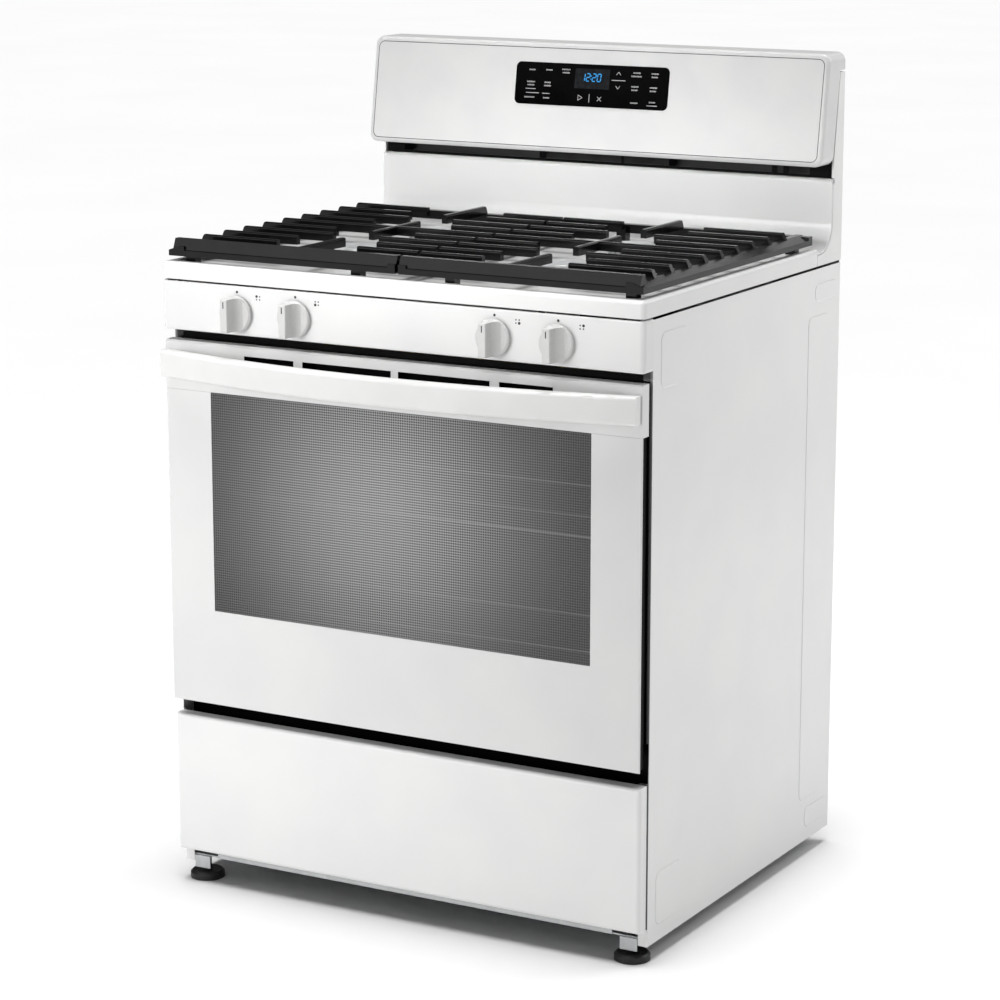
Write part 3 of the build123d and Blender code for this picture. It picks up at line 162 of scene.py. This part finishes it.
# The side panels are white outside. Their folded front edge beside the door is painted shade: black in the
# narrow gap behind the door, then greying towards the fold as a painted highlight where the rounded fold
# catches light.
FOLD_START = 373.5 * MM
FOLD_END = 378.2 * MM
FOLD_FACE = 378.4 * MM
FOLD_BACK = -258.6 * MM
FOLD_LOW = 50 * MM
side_enamel = vitreous_enamel("vitreous_enamel_side", "#e2e2e2", "#e6e6e5")
tree = side_enamel.tree
axes = add(tree, "ShaderNodeSeparateXYZ", {0: side_enamel.place}).outputs
outward = add(tree, "ShaderNodeMath", {0: axes["X"]}, operation="ABSOLUTE").outputs[0]
inside = add(tree, "ShaderNodeMath", {0: outward, 1: FOLD_FACE}, operation="LESS_THAN").outputs[0]
ahead = add(tree, "ShaderNodeMath", {0: axes["Y"], 1: FOLD_BACK}, operation="LESS_THAN").outputs[0]
above = add(tree, "ShaderNodeMath", {0: axes["Z"], 1: FOLD_LOW}, operation="GREATER_THAN").outputs[0]
fold = {"Value": outward, "From Min": FOLD_START, "From Max": FOLD_END}
towards_fold = add(tree, "ShaderNodeMapRange", fold).outputs[0]
fold_shade_tones = {"Factor": towards_fold, 6: linear("#070708"), 7: linear("#8a8a8a")}
fold_painted_shade = add(tree, "ShaderNodeMix", fold_shade_tones, data_type="RGBA").outputs[2]
coat(side_enamel, overlap(side_enamel, inside, ahead, above), fold_painted_shade)

# The door's top trim is enamelled like the door. The cut walls of its air slots are painted black, as
# painted shade that makes the slots read as dark openings.
# The slots are mirrored, and each is given by its middle and half its width.
SLOTS = ((77 * MM, 71.3 * MM), (203.5 * MM, 40.8 * MM))
SLOT_MIDDLE = 782.5 * MM
SLOT_HALF_HEIGHT = 6.6 * MM
trim_enamel = vitreous_enamel("vitreous_enamel_trim", "#dadada", "#dededd")
tree = trim_enamel.tree
axes = add(tree, "ShaderNodeSeparateXYZ", {0: trim_enamel.place}).outputs
outward = add(tree, "ShaderNodeMath", {0: axes["X"]}, operation="ABSOLUTE").outputs[0]
near_slot, far_slot = [
    add(tree, "ShaderNodeMath", {0: outward, 1: middle, 2: half}, operation="COMPARE").outputs[0]
    for middle, half in SLOTS
]
across = add(tree, "ShaderNodeMath", {0: near_slot, 1: far_slot}, operation="MAXIMUM").outputs[0]
band = {0: axes["Z"], 1: SLOT_MIDDLE, 2: SLOT_HALF_HEIGHT}
level = add(tree, "ShaderNodeMath", band, operation="COMPARE").outputs[0]
coat(trim_enamel, overlap(trim_enamel, across, level), linear("#050505"))

# Black vitreous enamel on the oven front: deep black with a soft sheen.
black_enamel = new_finish("vitreous_enamel_black", IOR=1.52, Specular_IOR_Level=0.05)
cloud(black_enamel, 30, "#020202", "#060606")
vary_gloss(black_enamel, 4, 0.28, 0.42)

# Porcelain enamel of the oven: blue-black ground with pale specks fired into it, 3.2 mm apart.
oven_porcelain = new_finish("porcelain_enamel_speckled", IOR=1.52)
speckle = {"Vector": oven_porcelain.place, "Scale": 1 / (3.2 * MM)}
specks = add(oven_porcelain.tree, "ShaderNodeTexVoronoi", speckle).outputs["Distance"]
tint(oven_porcelain, specks, "#8d939c", "#23262b", 0.12, 0.2)
vary_gloss(oven_porcelain, 8, 0.16, 0.26)

# Cast iron under black enamel: sand-cast pebbling, with grey light along the crowns of the bars.
cast_iron = new_finish("cast_iron_enamelled", IOR=1.52, Specular_IOR_Level=0.26)
cloud(cast_iron, 22, "#060607", "#0c0c0d", detail=3.0)
vary_gloss(cast_iron, 1.6, 0.15, 0.23, detail=3.0)
raise_grain(cast_iron, 1.6, 0.06, 0.3, detail=3.0)

# Grey porcelain enamel of the burner caps: satin and slightly mottled.
cap_enamel = new_finish("porcelain_enamel_grey", IOR=1.52)
cloud(cap_enamel, 9, "#a4a5a6", "#b6b7b8", detail=3.0)
vary_gloss(cap_enamel, 3, 0.32, 0.45)

# Die-cast aluminium: pale grey, with the soft cloudiness of a shot-blasted skin.
cast_aluminium = new_finish("aluminium_die_cast", Metallic=1.0)
cloud(cast_aluminium, 14, "#b9babb", "#cbccce", detail=3.0)
vary_gloss(cast_aluminium, 2, 0.42, 0.58)

# Galvanised steel sheet: zinc spangle 14 mm across, patches of slightly different grey and gloss.
galvanised = new_finish("steel_galvanised", Metallic=0.9)
tree = galvanised.tree
spangle = add(tree, "ShaderNodeTexVoronoi", {"Vector": galvanised.place, "Scale": 1 / (14 * MM)})
patch = add(tree, "ShaderNodeSeparateColor", {0: spangle.outputs["Color"]}).outputs[0]
tint(galvanised, patch, "#b9bbbc", "#c3c5c6", 0.1, 0.9)
gloss = add(tree, "ShaderNodeMapRange", {"Value": patch, "To Min": 0.4, "To Max": 0.5})
feed(galvanised, "Roughness", gloss.outputs[0])

# Cover behind the backguard: galvanised outside, with its inner face behind the vent painted near-black as
# painted shade, so that the vent slots read dark.
COVER_INSIDE = 346.8 * MM
cover_steel = new_finish("steel_galvanised_shade_painted")
tree = cover_steel.tree
depth = add(tree, "ShaderNodeSeparateXYZ", {0: cover_steel.place}).outputs["Y"]
outer = add(tree, "ShaderNodeMath", {0: depth, 1: COVER_INSIDE}, operation="GREATER_THAN").outputs[0]
tint(cover_steel, outer, "#1b1b1c", "#b4b6b7", 0.4, 0.6)
feed(cover_steel, "Metallic", outer)
vary_gloss(cover_steel, 14, 0.4, 0.55)

# Aluminised steel of the flue, darkened by heat and soot.
flue_steel = new_finish("steel_heat_darkened", IOR=1.5, Roughness=0.7)
cloud(flue_steel, 30, "#1a1a1b", "#2b2b2c", detail=3.0)

# Chrome-plated wire: bright, with a slightly uneven polish.
chrome = new_finish("steel_chrome_plated", Metallic=1.0)
cloud(chrome, 20, "#c9cacc", "#dcdddf")
vary_gloss(chrome, 3, 0.08, 0.16)

# Turned brass of the valve stems: yellow, with a fine uneven shine from the tool.
brass = new_finish("brass_turned", Metallic=1.0)
cloud(brass, 6, "#a98542", "#c39d57")
vary_gloss(brass, 1.5, 0.25, 0.38)

# Borosilicate glass of the inner pane and the lamp cover: clear, with a green cast.
clarity = {"Transmission_Weight": 0.92, "Base_Color": linear("#e9f0ee")}
clear_glass = new_finish("borosilicate_glass", IOR=1.47, **clarity)
vary_gloss(clear_glass, 40, 0.02, 0.06)

# Moulded black polypropylene of the feet: dull, with an uneven waxy sheen.
foot_plastic = new_finish("polypropylene_black", IOR=1.49)
cloud(foot_plastic, 9, "#0d0d0e", "#1a1a1b")
vary_gloss(foot_plastic, 2, 0.4, 0.6)

# Back-printed polyester film over the touch keys: black and smooth.
overlay_film = new_finish("polyester_film_black", IOR=1.57, Specular_IOR_Level=0.02)
cloud(overlay_film, 25, "#020202", "#040405")
vary_gloss(overlay_film, 1.5, 0.06, 0.1)

# Epoxy-glass circuit board: a satin green lacquer.
circuit_board = new_finish("epoxy_glass_board", IOR=1.55)
cloud(circuit_board, 5, "#0e4a26", "#17663a")
vary_gloss(circuit_board, 2, 0.35, 0.5)

# Glass wool: yellow matted fibres.
glass_wool = new_finish("glass_wool_yellow", IOR=1.5, Roughness=0.95)
cloud(glass_wool, 4, "#b89a4b", "#e2cf8a", detail=6.0)
raise_grain(glass_wool, 4, 1.5, 0.8, detail=6.0)

# Braided glass-fibre rope of the door gasket: grey diagonal plaits. The real ones are about 3 mm wide,
# drawn twice as wide to show.
gasket_braid = new_finish("glass_fibre_braid", IOR=1.5, Roughness=0.9)
braid = {"Vector": gasket_braid.place, "Scale": 1 / (20 * MM), "Distortion": 1.5}
plait = add(gasket_braid.tree, "ShaderNodeTexWave", braid, bands_direction="DIAGONAL").outputs[1]
tint(gasket_braid, plait, "#4c4d4f", "#85868a", 0.2, 0.8)
relief = add(gasket_braid.tree, "ShaderNodeBump", {"Height": plait, "Distance": 0.6 * MM, "Strength": 0.7})
feed(gasket_braid, "Normal", relief.outputs[0])

# Sintered alumina of the electrodes and the igniter: off-white and dry.
alumina = new_finish("alumina_ceramic", IOR=1.6)
cloud(alumina, 3, "#dcd8cd", "#ece9e0")
vary_gloss(alumina, 1.5, 0.6, 0.8)

# Toughened door glass with a fired-on dot screen, with darker holes, over a grey field that is painted
# paler towards the middle of the pane as a painted reflection. The real holes are about 2 mm apart, drawn
# 3.6 mm apart to show.
HOLE_PITCH = 3.6 * MM
PANE_MIDDLE = (-0.02, 0.0, 0.6)
PANE_REACH = (0.36, 1.0, 0.34)
window_glass = new_finish("toughened_glass_dot_screen", IOR=1.52, Roughness=0.07)
tree = window_glass.tree
place = window_glass.place
cells = {0: place, 1: (1 / HOLE_PITCH, 0, 1 / HOLE_PITCH)}
grid = add(tree, "ShaderNodeVectorMath", cells, operation="MULTIPLY").outputs[0]
within = add(tree, "ShaderNodeVectorMath", {0: grid}, operation="FRACTION").outputs[0]
centred = {0: within, 1: (0.5, 0, 0.5)}
from_hole = add(tree, "ShaderNodeVectorMath", centred, operation="DISTANCE").outputs["Value"]
rim = {"Value": from_hole, "From Min": 0.3, "From Max": 0.42}
printed = add(tree, "ShaderNodeMapRange", rim).outputs[0]
# Painted reflection: the field is paler towards the middle of the pane and darker towards its edges.
offset = add(tree, "ShaderNodeVectorMath", {0: place, 1: PANE_MIDDLE}, operation="SUBTRACT").outputs[0]
spread = add(tree, "ShaderNodeVectorMath", {0: offset, 1: PANE_REACH}, operation="DIVIDE").outputs[0]
flat = add(tree, "ShaderNodeVectorMath", {0: spread, 1: (1, 0, 1)}, operation="MULTIPLY").outputs[0]
reach = add(tree, "ShaderNodeVectorMath", {0: flat}, operation="LENGTH").outputs["Value"]
reflection_field = add(tree, "ShaderNodeValToRGB", {0: reach})
reflection_field.color_ramp.interpolation = "EASE"
reflection_field.color_ramp.elements[0].color = linear("#a9a9a9")
reflection_field.color_ramp.elements[1].color = linear("#4b4b4b")
holes = {"Factor": printed, 6: linear("#6e6e6e"), 7: linear("#ffffff")}
screen = add(tree, "ShaderNodeMix", holes, data_type="RGBA").outputs[2]
layers = {"Factor": 1.0, 6: reflection_field.outputs[0], 7: screen}
screened = add(tree, "ShaderNodeMix", layers, data_type="RGBA", blend_type="MULTIPLY")
feed(window_glass, "Base Color", screened.outputs[2])

# The wires of the racks behind the pane are drawn on it as faint pale lines, stronger to the right.
# Each line is given by its height and how strongly it shows.
RACK_LINES = ((0.662, 0.1), (0.62, 0.08), (0.592, 0.18), (0.485, 0.09), (0.435, 0.09))
LINE_CORE = 0.7 * MM
LINE_EDGE = 1.6 * MM
REVEAL_START = -0.3
REVEAL_END = 0.2
axes = add(tree, "ShaderNodeSeparateXYZ", {0: place}).outputs
lines = []
for height, strength in RACK_LINES:
    above = add(tree, "ShaderNodeMath", {0: axes["Z"], 1: height}, operation="SUBTRACT").outputs[0]
    apart = add(tree, "ShaderNodeMath", {0: above}, operation="ABSOLUTE").outputs[0]
    line = {"Value": apart, "From Min": LINE_CORE, "From Max": LINE_EDGE, "To Min": strength, "To Max": 0.0}
    lines.append(add(tree, "ShaderNodeMapRange", line).outputs[0])
wires = lines[0]
for line in lines[1:]:
    wires = add(tree, "ShaderNodeMath", {0: wires, 1: line}, operation="ADD").outputs[0]
to_right = {"Value": axes["X"], "From Min": REVEAL_START, "From Max": REVEAL_END}
reveal = add(tree, "ShaderNodeMapRange", to_right).outputs[0]
coat(window_glass, overlap(window_glass, wires, reveal), linear("#d0d0d0"))

# Screen-printed ink of the burner marks and the knob lines: flat near-black.
grey_ink = new_finish("screen_ink_grey", IOR=1.5, Roughness=0.5)
cloud(grey_ink, 2, "#1a1a1b", "#252526")

# Painted shade in the console's seam: a dull dark grey line that darkens the groove.
seam_shade = new_finish("seam_painted_shade", IOR=1.43, Roughness=0.6)
cloud(seam_shade, 6, "#2a2a2b", "#343435")

# White ink of the touch-key marks, printed behind the film, which greys it.
white_ink = new_finish("screen_ink_white", IOR=1.5, Roughness=0.4)
cloud(white_ink, 2, "#a2a2a3", "#b2b2b3")

# Smoked acrylic of the clock's window: a lighter black than the film.
clock_acrylic = new_finish("acrylic_smoked", IOR=1.49, Specular_IOR_Level=0.02)
cloud(clock_acrylic, 8, "#1a1b1d", "#222325")
vary_gloss(clock_acrylic, 3, 0.15, 0.22)

# Vacuum fluorescent clock segments: glowing blue phosphor.
glow = {"Emission_Color": linear("#1598e8"), "Emission_Strength": 0.9}
phosphor = new_finish("phosphor_blue", Roughness=0.6, **glow)
cloud(phosphor, 2, "#0d4a66", "#13597a")

finish_by_slot = {
    "white_enamel": white_enamel,
    "white_plastic": white_abs,
    "black_enamel": black_enamel,
    "oven_porcelain": oven_porcelain,
    "cast_iron": cast_iron,
    "grey_enamel": cap_enamel,
    "burner_alloy": cast_aluminium,
    "galvanised_steel": galvanised,
    "chrome_wire": chrome,
    "brass": brass,
    "dark_glass": window_glass,
    "clear_glass": clear_glass,
    "black_plastic": foot_plastic,
    "control_black": overlay_film,
    "circuit_board": circuit_board,
    "glass_wool": glass_wool,
    "woven_gasket": gasket_braid,
    "ceramic": alumina,
}
finish_by_node = {
    "door_outer_panel": door_enamel,
    "door_top_trim": trim_enamel,
    "drawer_front": drawer_paint,
    "console": console_abs_shaded,
    "backguard_rear_cover": cover_steel,
    "flue_duct": flue_steel,
    "side_panel_left": side_enamel,
    "side_panel_right": side_enamel,
}
finish_by_node.update({f"knob_{number}": knob_abs_shaded for number in range(1, 5)})

for part in frame["record"]["subparts"]:
    node = frame["nodes"][part["node"]]
    finish = finish_by_node.get(part["node"], finish_by_slot[part["material_slot"]])
    if not node.material_slots:
        node.data.materials.append(finish.material)
    for holder in node.material_slots:
        holder.material = finish.material


def make_piece(name, mesh, finish, body):
    """Turns a finished bmesh into a named piece on one body."""
    bmesh.ops.recalc_face_normals(mesh, faces=mesh.faces)
    data = bpy.data.meshes.new(name)
    mesh.to_mesh(data)
    mesh.free()
    data.materials.append(finish.material)
    piece = bpy.data.objects.new(name, data)
    bpy.context.scene.collection.objects.link(piece)
    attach(piece, body)


def print_on(plane, name, mesh, finish, body):
    """Lays a flat print on a plane of the model."""
    bmesh.ops.transform(mesh, verts=mesh.verts, matrix=plane)
    make_piece(name, mesh, finish, body)


# Prints are drawn flat, in millimetres on the plane that they lie on.
INK = 0.12 * MM
DOT_SIDES = 20
CORNER_REACH = 0.6


def stroke(mesh, middle, length, width, turn=0.0, slant=0.0):
    """A printed bar, turned in degrees and slanted like an italic."""
    made = bmesh.ops.create_cube(mesh, size=1.0)["verts"]
    bmesh.ops.scale(mesh, verts=made, vec=(length * MM, width * MM, INK))
    shear = Matrix.Identity(4)
    shear[0][1] = slant
    bmesh.ops.transform(mesh, verts=made, matrix=shear @ Matrix.Rotation(math.radians(turn), 4, "Z"))
    shift = Vector((middle[0] + slant * middle[1], middle[1], 0)) * MM
    bmesh.ops.translate(mesh, verts=made, vec=shift)


def stroke_between(mesh, start, end, width):
    """A printed bar from one point to another, with its ends carried past them to close a corner."""
    run = Vector(end) - Vector(start)
    middle = (Vector(start) + Vector(end)) / 2
    stroke(mesh, middle, run.length + CORNER_REACH, width, turn=math.degrees(math.atan2(run.y, run.x)))


def dot(mesh, middle, radius):
    """A printed dot."""
    shape = {"radius1": radius * MM, "radius2": radius * MM, "depth": INK}
    made = bmesh.ops.create_cone(mesh, cap_ends=True, segments=DOT_SIDES, **shape)["verts"]
    bmesh.ops.translate(mesh, verts=made, vec=(middle[0] * MM, middle[1] * MM, 0))


# The console's face leans back between its lower and upper edges.
CONSOLE_WIDTH = 759
CONSOLE_BOTTOM = 1031
CONSOLE_TOP = 1191
CONSOLE_RUN = 25
CONSOLE_MIDDLE_Y = 279.5
console_height = CONSOLE_TOP - CONSOLE_BOTTOM
console_middle = (CONSOLE_BOTTOM + CONSOLE_TOP) / 2
console_rise = math.hypot(console_height, CONSOLE_RUN)


def console_plane(height, proud):
    """The console's face at this height, this far in front of it, with Z out of the face."""
    depth = CONSOLE_MIDDLE_Y + (height - console_middle) * CONSOLE_RUN / console_height
    lean = math.atan(CONSOLE_RUN / console_height)
    place = Matrix.Translation(Vector((0, depth, height)) * MM)
    return place @ Matrix.Rotation(math.pi / 2 - lean, 4, "X") @ Matrix.Translation((0, 0, proud * MM))


# Seam around the console's face: a thin dark grey strip in the groove, as painted shade that darkens it.
SEAM_INSET = 7.0
SEAM_WIDTH = 1.1
SEAM_DEPTH = 0.15
SEAM_ROUND = 10.0
seam = bmesh.new()
outline = bmesh.ops.create_grid(seam, x_segments=1, y_segments=1, size=0.5)["verts"]
seam_size = ((CONSOLE_WIDTH - 2 * SEAM_INSET) * MM, (console_rise - 2 * SEAM_INSET) * MM, 1)
bmesh.ops.scale(seam, verts=outline, vec=seam_size)
bmesh.ops.bevel(
    seam,
    geom=seam.verts,
    offset=SEAM_ROUND * MM,
    offset_type="OFFSET",
    segments=6,
    profile=0.5,
    affect="VERTICES",
    material=-1,
)
strip = SEAM_WIDTH * MM
bmesh.ops.inset_region(seam, faces=seam.faces, thickness=strip, use_boundary=True, use_even_offset=True)
middle_face = max(seam.faces, key=lambda face: face.calc_area())
bmesh.ops.delete(seam, geom=[middle_face], context="FACES")
seam_plane = console_plane(console_middle, -SEAM_DEPTH)
print_on(seam_plane, "console_seam", seam, seam_shade, "cabinet")

# Clock: a smoked window on the film, with four seven-segment digits and a colon.
OVERLAY_HEIGHT = 1131
FILM = 0.8
WINDOW_MIDDLE = (1.1, 10.0)
WINDOW_WIDTH = 58
WINDOW_HEIGHT = 29.6
overlay_plane = console_plane(OVERLAY_HEIGHT, FILM)
window = bmesh.new()
stroke(window, WINDOW_MIDDLE, WINDOW_WIDTH, WINDOW_HEIGHT)
print_on(overlay_plane, "clock_window", window, clock_acrylic, "cabinet")

DIGIT_WIDTH = 5.6
DIGIT_HEIGHT = 11.0
SEGMENT = 1.35
SEGMENT_GAP = 1.2
ITALIC = 0.12
CLOCK_SHIFT = (-1, 12, 0.1)
COLON_ACROSS = 0.2
COLON_RISE = 2.2
COLON_RADIUS = 0.75
digit_places = (("1", -13.2), ("2", -4.9), ("2", 5.2), ("0", 13.5))
segments_of = {"0": "abcdef", "1": "bc", "2": "abged"}
segment_places = {
    "a": (0, 1, 0),
    "b": (0.5, 0.5, 90),
    "c": (0.5, -0.5, 90),
    "d": (0, -1, 0),
    "e": (-0.5, -0.5, 90),
    "f": (-0.5, 0.5, 90),
    "g": (0, 0, 0),
}
clock_plane = overlay_plane @ Matrix.Translation(Vector(CLOCK_SHIFT) * MM)
clock = bmesh.new()
for digit, x in digit_places:
    for segment in segments_of[digit]:
        across, up, turn = segment_places[segment]
        length = (DIGIT_HEIGHT / 2 if turn else DIGIT_WIDTH) - SEGMENT_GAP
        place = (x + across * DIGIT_WIDTH, up * DIGIT_HEIGHT / 2)
        stroke(clock, place, length, SEGMENT, turn, slant=ITALIC)
for y in (-COLON_RISE, COLON_RISE):
    dot(clock, (COLON_ACROSS + ITALIC * y, y), COLON_RADIUS)
print_on(clock_plane, "clock_digits", clock, phosphor, "cabinet")

# Touch-key marks: rows of short ticks, each given by its middle and its length.
key_rows = [
    ((-100.6, 20.0), 11),
    ((-72, 20.5), 10.5),
    ((-43.4, 22.2), 14),
    ((-43.4, 17.4), 12.5),
    ((-101.7, 2.0), 14),
    ((-101.7, -2.8), 12.5),
    ((-73.3, 1.8), 12),
    ((-73.3, -3.0), 13),
    ((-102.7, -21), 19),
    ((-74, -21.2), 11.5),
    ((74.6, 21.6), 12.5),
    ((74.2, 16.6), 18.5),
    ((104.6, 21.4), 12.5),
    ((104.4, 16.4), 12),
    ((72.8, 1.4), 12.5),
    ((72.4, -3.6), 11),
    ((103.4, 1.0), 13),
    ((103, -4.0), 12),
    ((73, -22.5), 12.5),
    ((102.9, -20.4), 11.5),
]
TICK_PITCH = 1.75
TICK_WIDTH = 1.15
tick_heights = (2.5, 1.7, 1.9, 1.7, 2.3, 1.7)
key_print = bmesh.new()
for (x, y), length in key_rows:
    ticks = int(length / TICK_PITCH)
    for tick in range(ticks):
        across = (tick - (ticks - 1) / 2) * TICK_PITCH
        tick_height = tick_heights[(tick + ticks) % len(tick_heights)]
        stroke(key_print, (x + across, y), TICK_WIDTH, tick_height)

# Rules under some of the rows, an up and a down arrow, and a triangle, a bar and a cross below.
RULE_WIDTH = 1.0
SIGN_WIDTH = 0.8
ARROW_MIDDLE = 44.6
ARROW_HALF = 1.9
ARROW_ARM = 5.6
ARROW_TURN = 52
UP_ARROW_HEIGHT = 19.6
DOWN_ARROW_HEIGHT = -0.8
BAR_MIDDLE = (-1.9, -18.7)
BAR_LENGTH = 12.5
CROSS_MIDDLE = (14.9, -19.1)
CROSS_ARM = 9.2
key_rules = (
    ((-101.7, -8.4), 17),
    ((-98, -14.4), 22),
    ((-75, -14.6), 13),
    ((102.8, -25.4), 17),
    ((44.8, 9.4), 23),
)
for middle, length in key_rules:
    stroke(key_print, middle, length, RULE_WIDTH)
for up, y in ((1, UP_ARROW_HEIGHT), (-1, DOWN_ARROW_HEIGHT)):
    for side in (-1, 1):
        arm_middle = (ARROW_MIDDLE + side * ARROW_HALF, y)
        stroke(key_print, arm_middle, ARROW_ARM, SIGN_WIDTH, turn=-side * up * ARROW_TURN)
triangle_top = (-20.5, -14.6)
triangle_foot = (-20.5, -22.2)
triangle_tip = (-13.6, -18.4)
stroke_between(key_print, triangle_top, triangle_foot, SIGN_WIDTH)
stroke_between(key_print, triangle_top, triangle_tip, SIGN_WIDTH)
stroke_between(key_print, triangle_foot, triangle_tip, SIGN_WIDTH)
stroke(key_print, BAR_MIDDLE, BAR_LENGTH, SIGN_WIDTH, turn=90)
for turn in (45, -45):
    stroke(key_print, CROSS_MIDDLE, CROSS_ARM, SIGN_WIDTH, turn=turn)
print_on(overlay_plane, "key_marks", key_print, white_ink, "cabinet")

# Burner marks on the knob fascia: an off dot above each knob and a square of four dots beside it,
# in which the larger dot names the burner.
FASCIA_FRONT = -288
KNOB_HEIGHT = 849.5
OFF_RISE = 29.5
OFF_RADIUS = 1.9
SQUARE_ACROSS = 35
SQUARE_RISE = 23.5
SQUARE_HALF_WIDTH = 2.5
SQUARE_HALF_HEIGHT = 2.2
NAMED_RADIUS = 2.0
OTHER_RADIUS = 1.1
knob_places = (-253.0, -157.0, 157.0, 253.0)
named_corners = ((-1, 1), (-1, -1), (1, -1), (1, 1))
upright = Matrix.Rotation(math.pi / 2, 4, "X")
fascia_plane = Matrix.Translation((0, FASCIA_FRONT * MM, KNOB_HEIGHT * MM)) @ upright
fascia_marks = bmesh.new()
for x, named in zip(knob_places, named_corners):
    dot(fascia_marks, (x, OFF_RISE), OFF_RADIUS)
    for across in (-1, 1):
        for up in (-1, 1):
            radius = NAMED_RADIUS if (across, up) == named else OTHER_RADIUS
            corner = (x + SQUARE_ACROSS + across * SQUARE_HALF_WIDTH, SQUARE_RISE + up * SQUARE_HALF_HEIGHT)
            dot(fascia_marks, corner, radius)
print_on(fascia_plane, "fascia_marks", fascia_marks, grey_ink, "cabinet")

# A short line at the top of each knob's grip.
GRIP_FRONT = -323
LINE_RISE = 15.5
LINE_LENGTH = 9
LINE_WIDTH = 1.6
grip_plane = Matrix.Translation((0, GRIP_FRONT * MM, KNOB_HEIGHT * MM)) @ upright
for number, x in enumerate(knob_places, start=1):
    line = bmesh.new()
    stroke(line, (x, LINE_RISE), LINE_LENGTH, LINE_WIDTH, turn=90)
    print_on(grip_plane, f"knob_line_{number}", line, grey_ink, f"knob_{number}_body")

# Studio: a wide pale floor under an even sky.
FLOOR_REACH = 60
floor_paint = new_finish("floor_paint_white", Roughness=0.9, IOR=1.3)
cloud(floor_paint, 900, "#f9f9f9", "#fbfbfb")
floor_mesh = bmesh.new()
bmesh.ops.create_grid(floor_mesh, x_segments=1, y_segments=1, size=FLOOR_REACH)
floor_data = bpy.data.meshes.new("studio_floor")
floor_mesh.to_mesh(floor_data)
floor_mesh.free()
floor_data.materials.append(floor_paint.material)
studio_floor = bpy.data.objects.new("studio_floor", floor_data)
bpy.context.scene.collection.objects.link(studio_floor)

sky = bpy.data.worlds.new("studio_sky")
sky.use_nodes = True
sky_light = sky.node_tree.nodes["Background"].inputs
sky_light["Color"].default_value = linear("#ffffff")
sky_light["Strength"].default_value = 0.1
bpy.context.scene.world = sky

# The two front lamps are flagged off the floor, so that it stays dark under the range.
flagged = bpy.data.collections.new("flagged_off")
flagged.objects.link(studio_floor)
flagged.collection_objects[0].light_linking.link_state = "EXCLUDE"


def soft_lamp(name, place, aim, size, power, spread=180, flag=False):
    """A soft box that faces a point, with its light kept within a spread in degrees."""
    lamp = bpy.data.lights.new(name, "AREA")
    lamp.shape = "RECTANGLE"
    lamp.size, lamp.size_y = size
    lamp.energy = power
    lamp.spread = math.radians(spread)
    holder = bpy.data.objects.new(name, lamp)
    holder.location = place
    holder.rotation_euler = (Vector(aim) - Vector(place)).to_track_quat("-Z", "Y").to_euler()
    holder.visible_camera = False
    if flag:
        holder.light_linking.receiver_collection = flagged
    bpy.context.scene.collection.objects.link(holder)


soft_lamp("key_left", (-0.95, -2.5, 1.0), (-0.42, -0.28, 0.45), (1.0, 1.0), 2.5, spread=46, flag=True)
soft_lamp("front", (-1.6, -2.9, 2.7), (0, 0, 0.6), (2.0, 2.0), 20, flag=True)
soft_lamp("fill_right_rear", (1.8, 1.7, 1.9), (0.38, 0.2, 0.5), (1.2, 1.2), 21)
soft_lamp("backguard_strip", (-0.1, -1.8, 1.5), (0.0, 0.311, 0.93), (0.8, 0.12), 0.8, spread=24)

overhead = bpy.data.lights.new("overhead", "SUN")
overhead.energy = 3.0
overhead.angle = math.radians(34)
overhead_holder = bpy.data.objects.new("overhead", overhead)
overhead_holder.rotation_euler = (math.radians(3), math.radians(-2), 0)
bpy.context.scene.collection.objects.link(overhead_holder)

# Camera where the photograph's stood, looking down at the range from its front right.
LOOK_DOWN = 12.439
LOOK_LEFT = 29.352
CAMERA_PLACE = (2.2025, -3.9103, 1.5457)
FOCAL_LENGTH = 114.31
camera = bpy.data.cameras.new("photo_camera")
camera.sensor_width = 36
camera.lens = FOCAL_LENGTH
camera.clip_end = 200
camera_holder = bpy.data.objects.new("photo_camera", camera)
camera_holder.location = CAMERA_PLACE
camera_holder.rotation_euler = (math.radians(90 - LOOK_DOWN), 0, math.radians(LOOK_LEFT))
bpy.context.scene.collection.objects.link(camera_holder)
bpy.context.scene.camera = camera_holder
bpy.context.scene.view_settings.view_transform = "Standard"
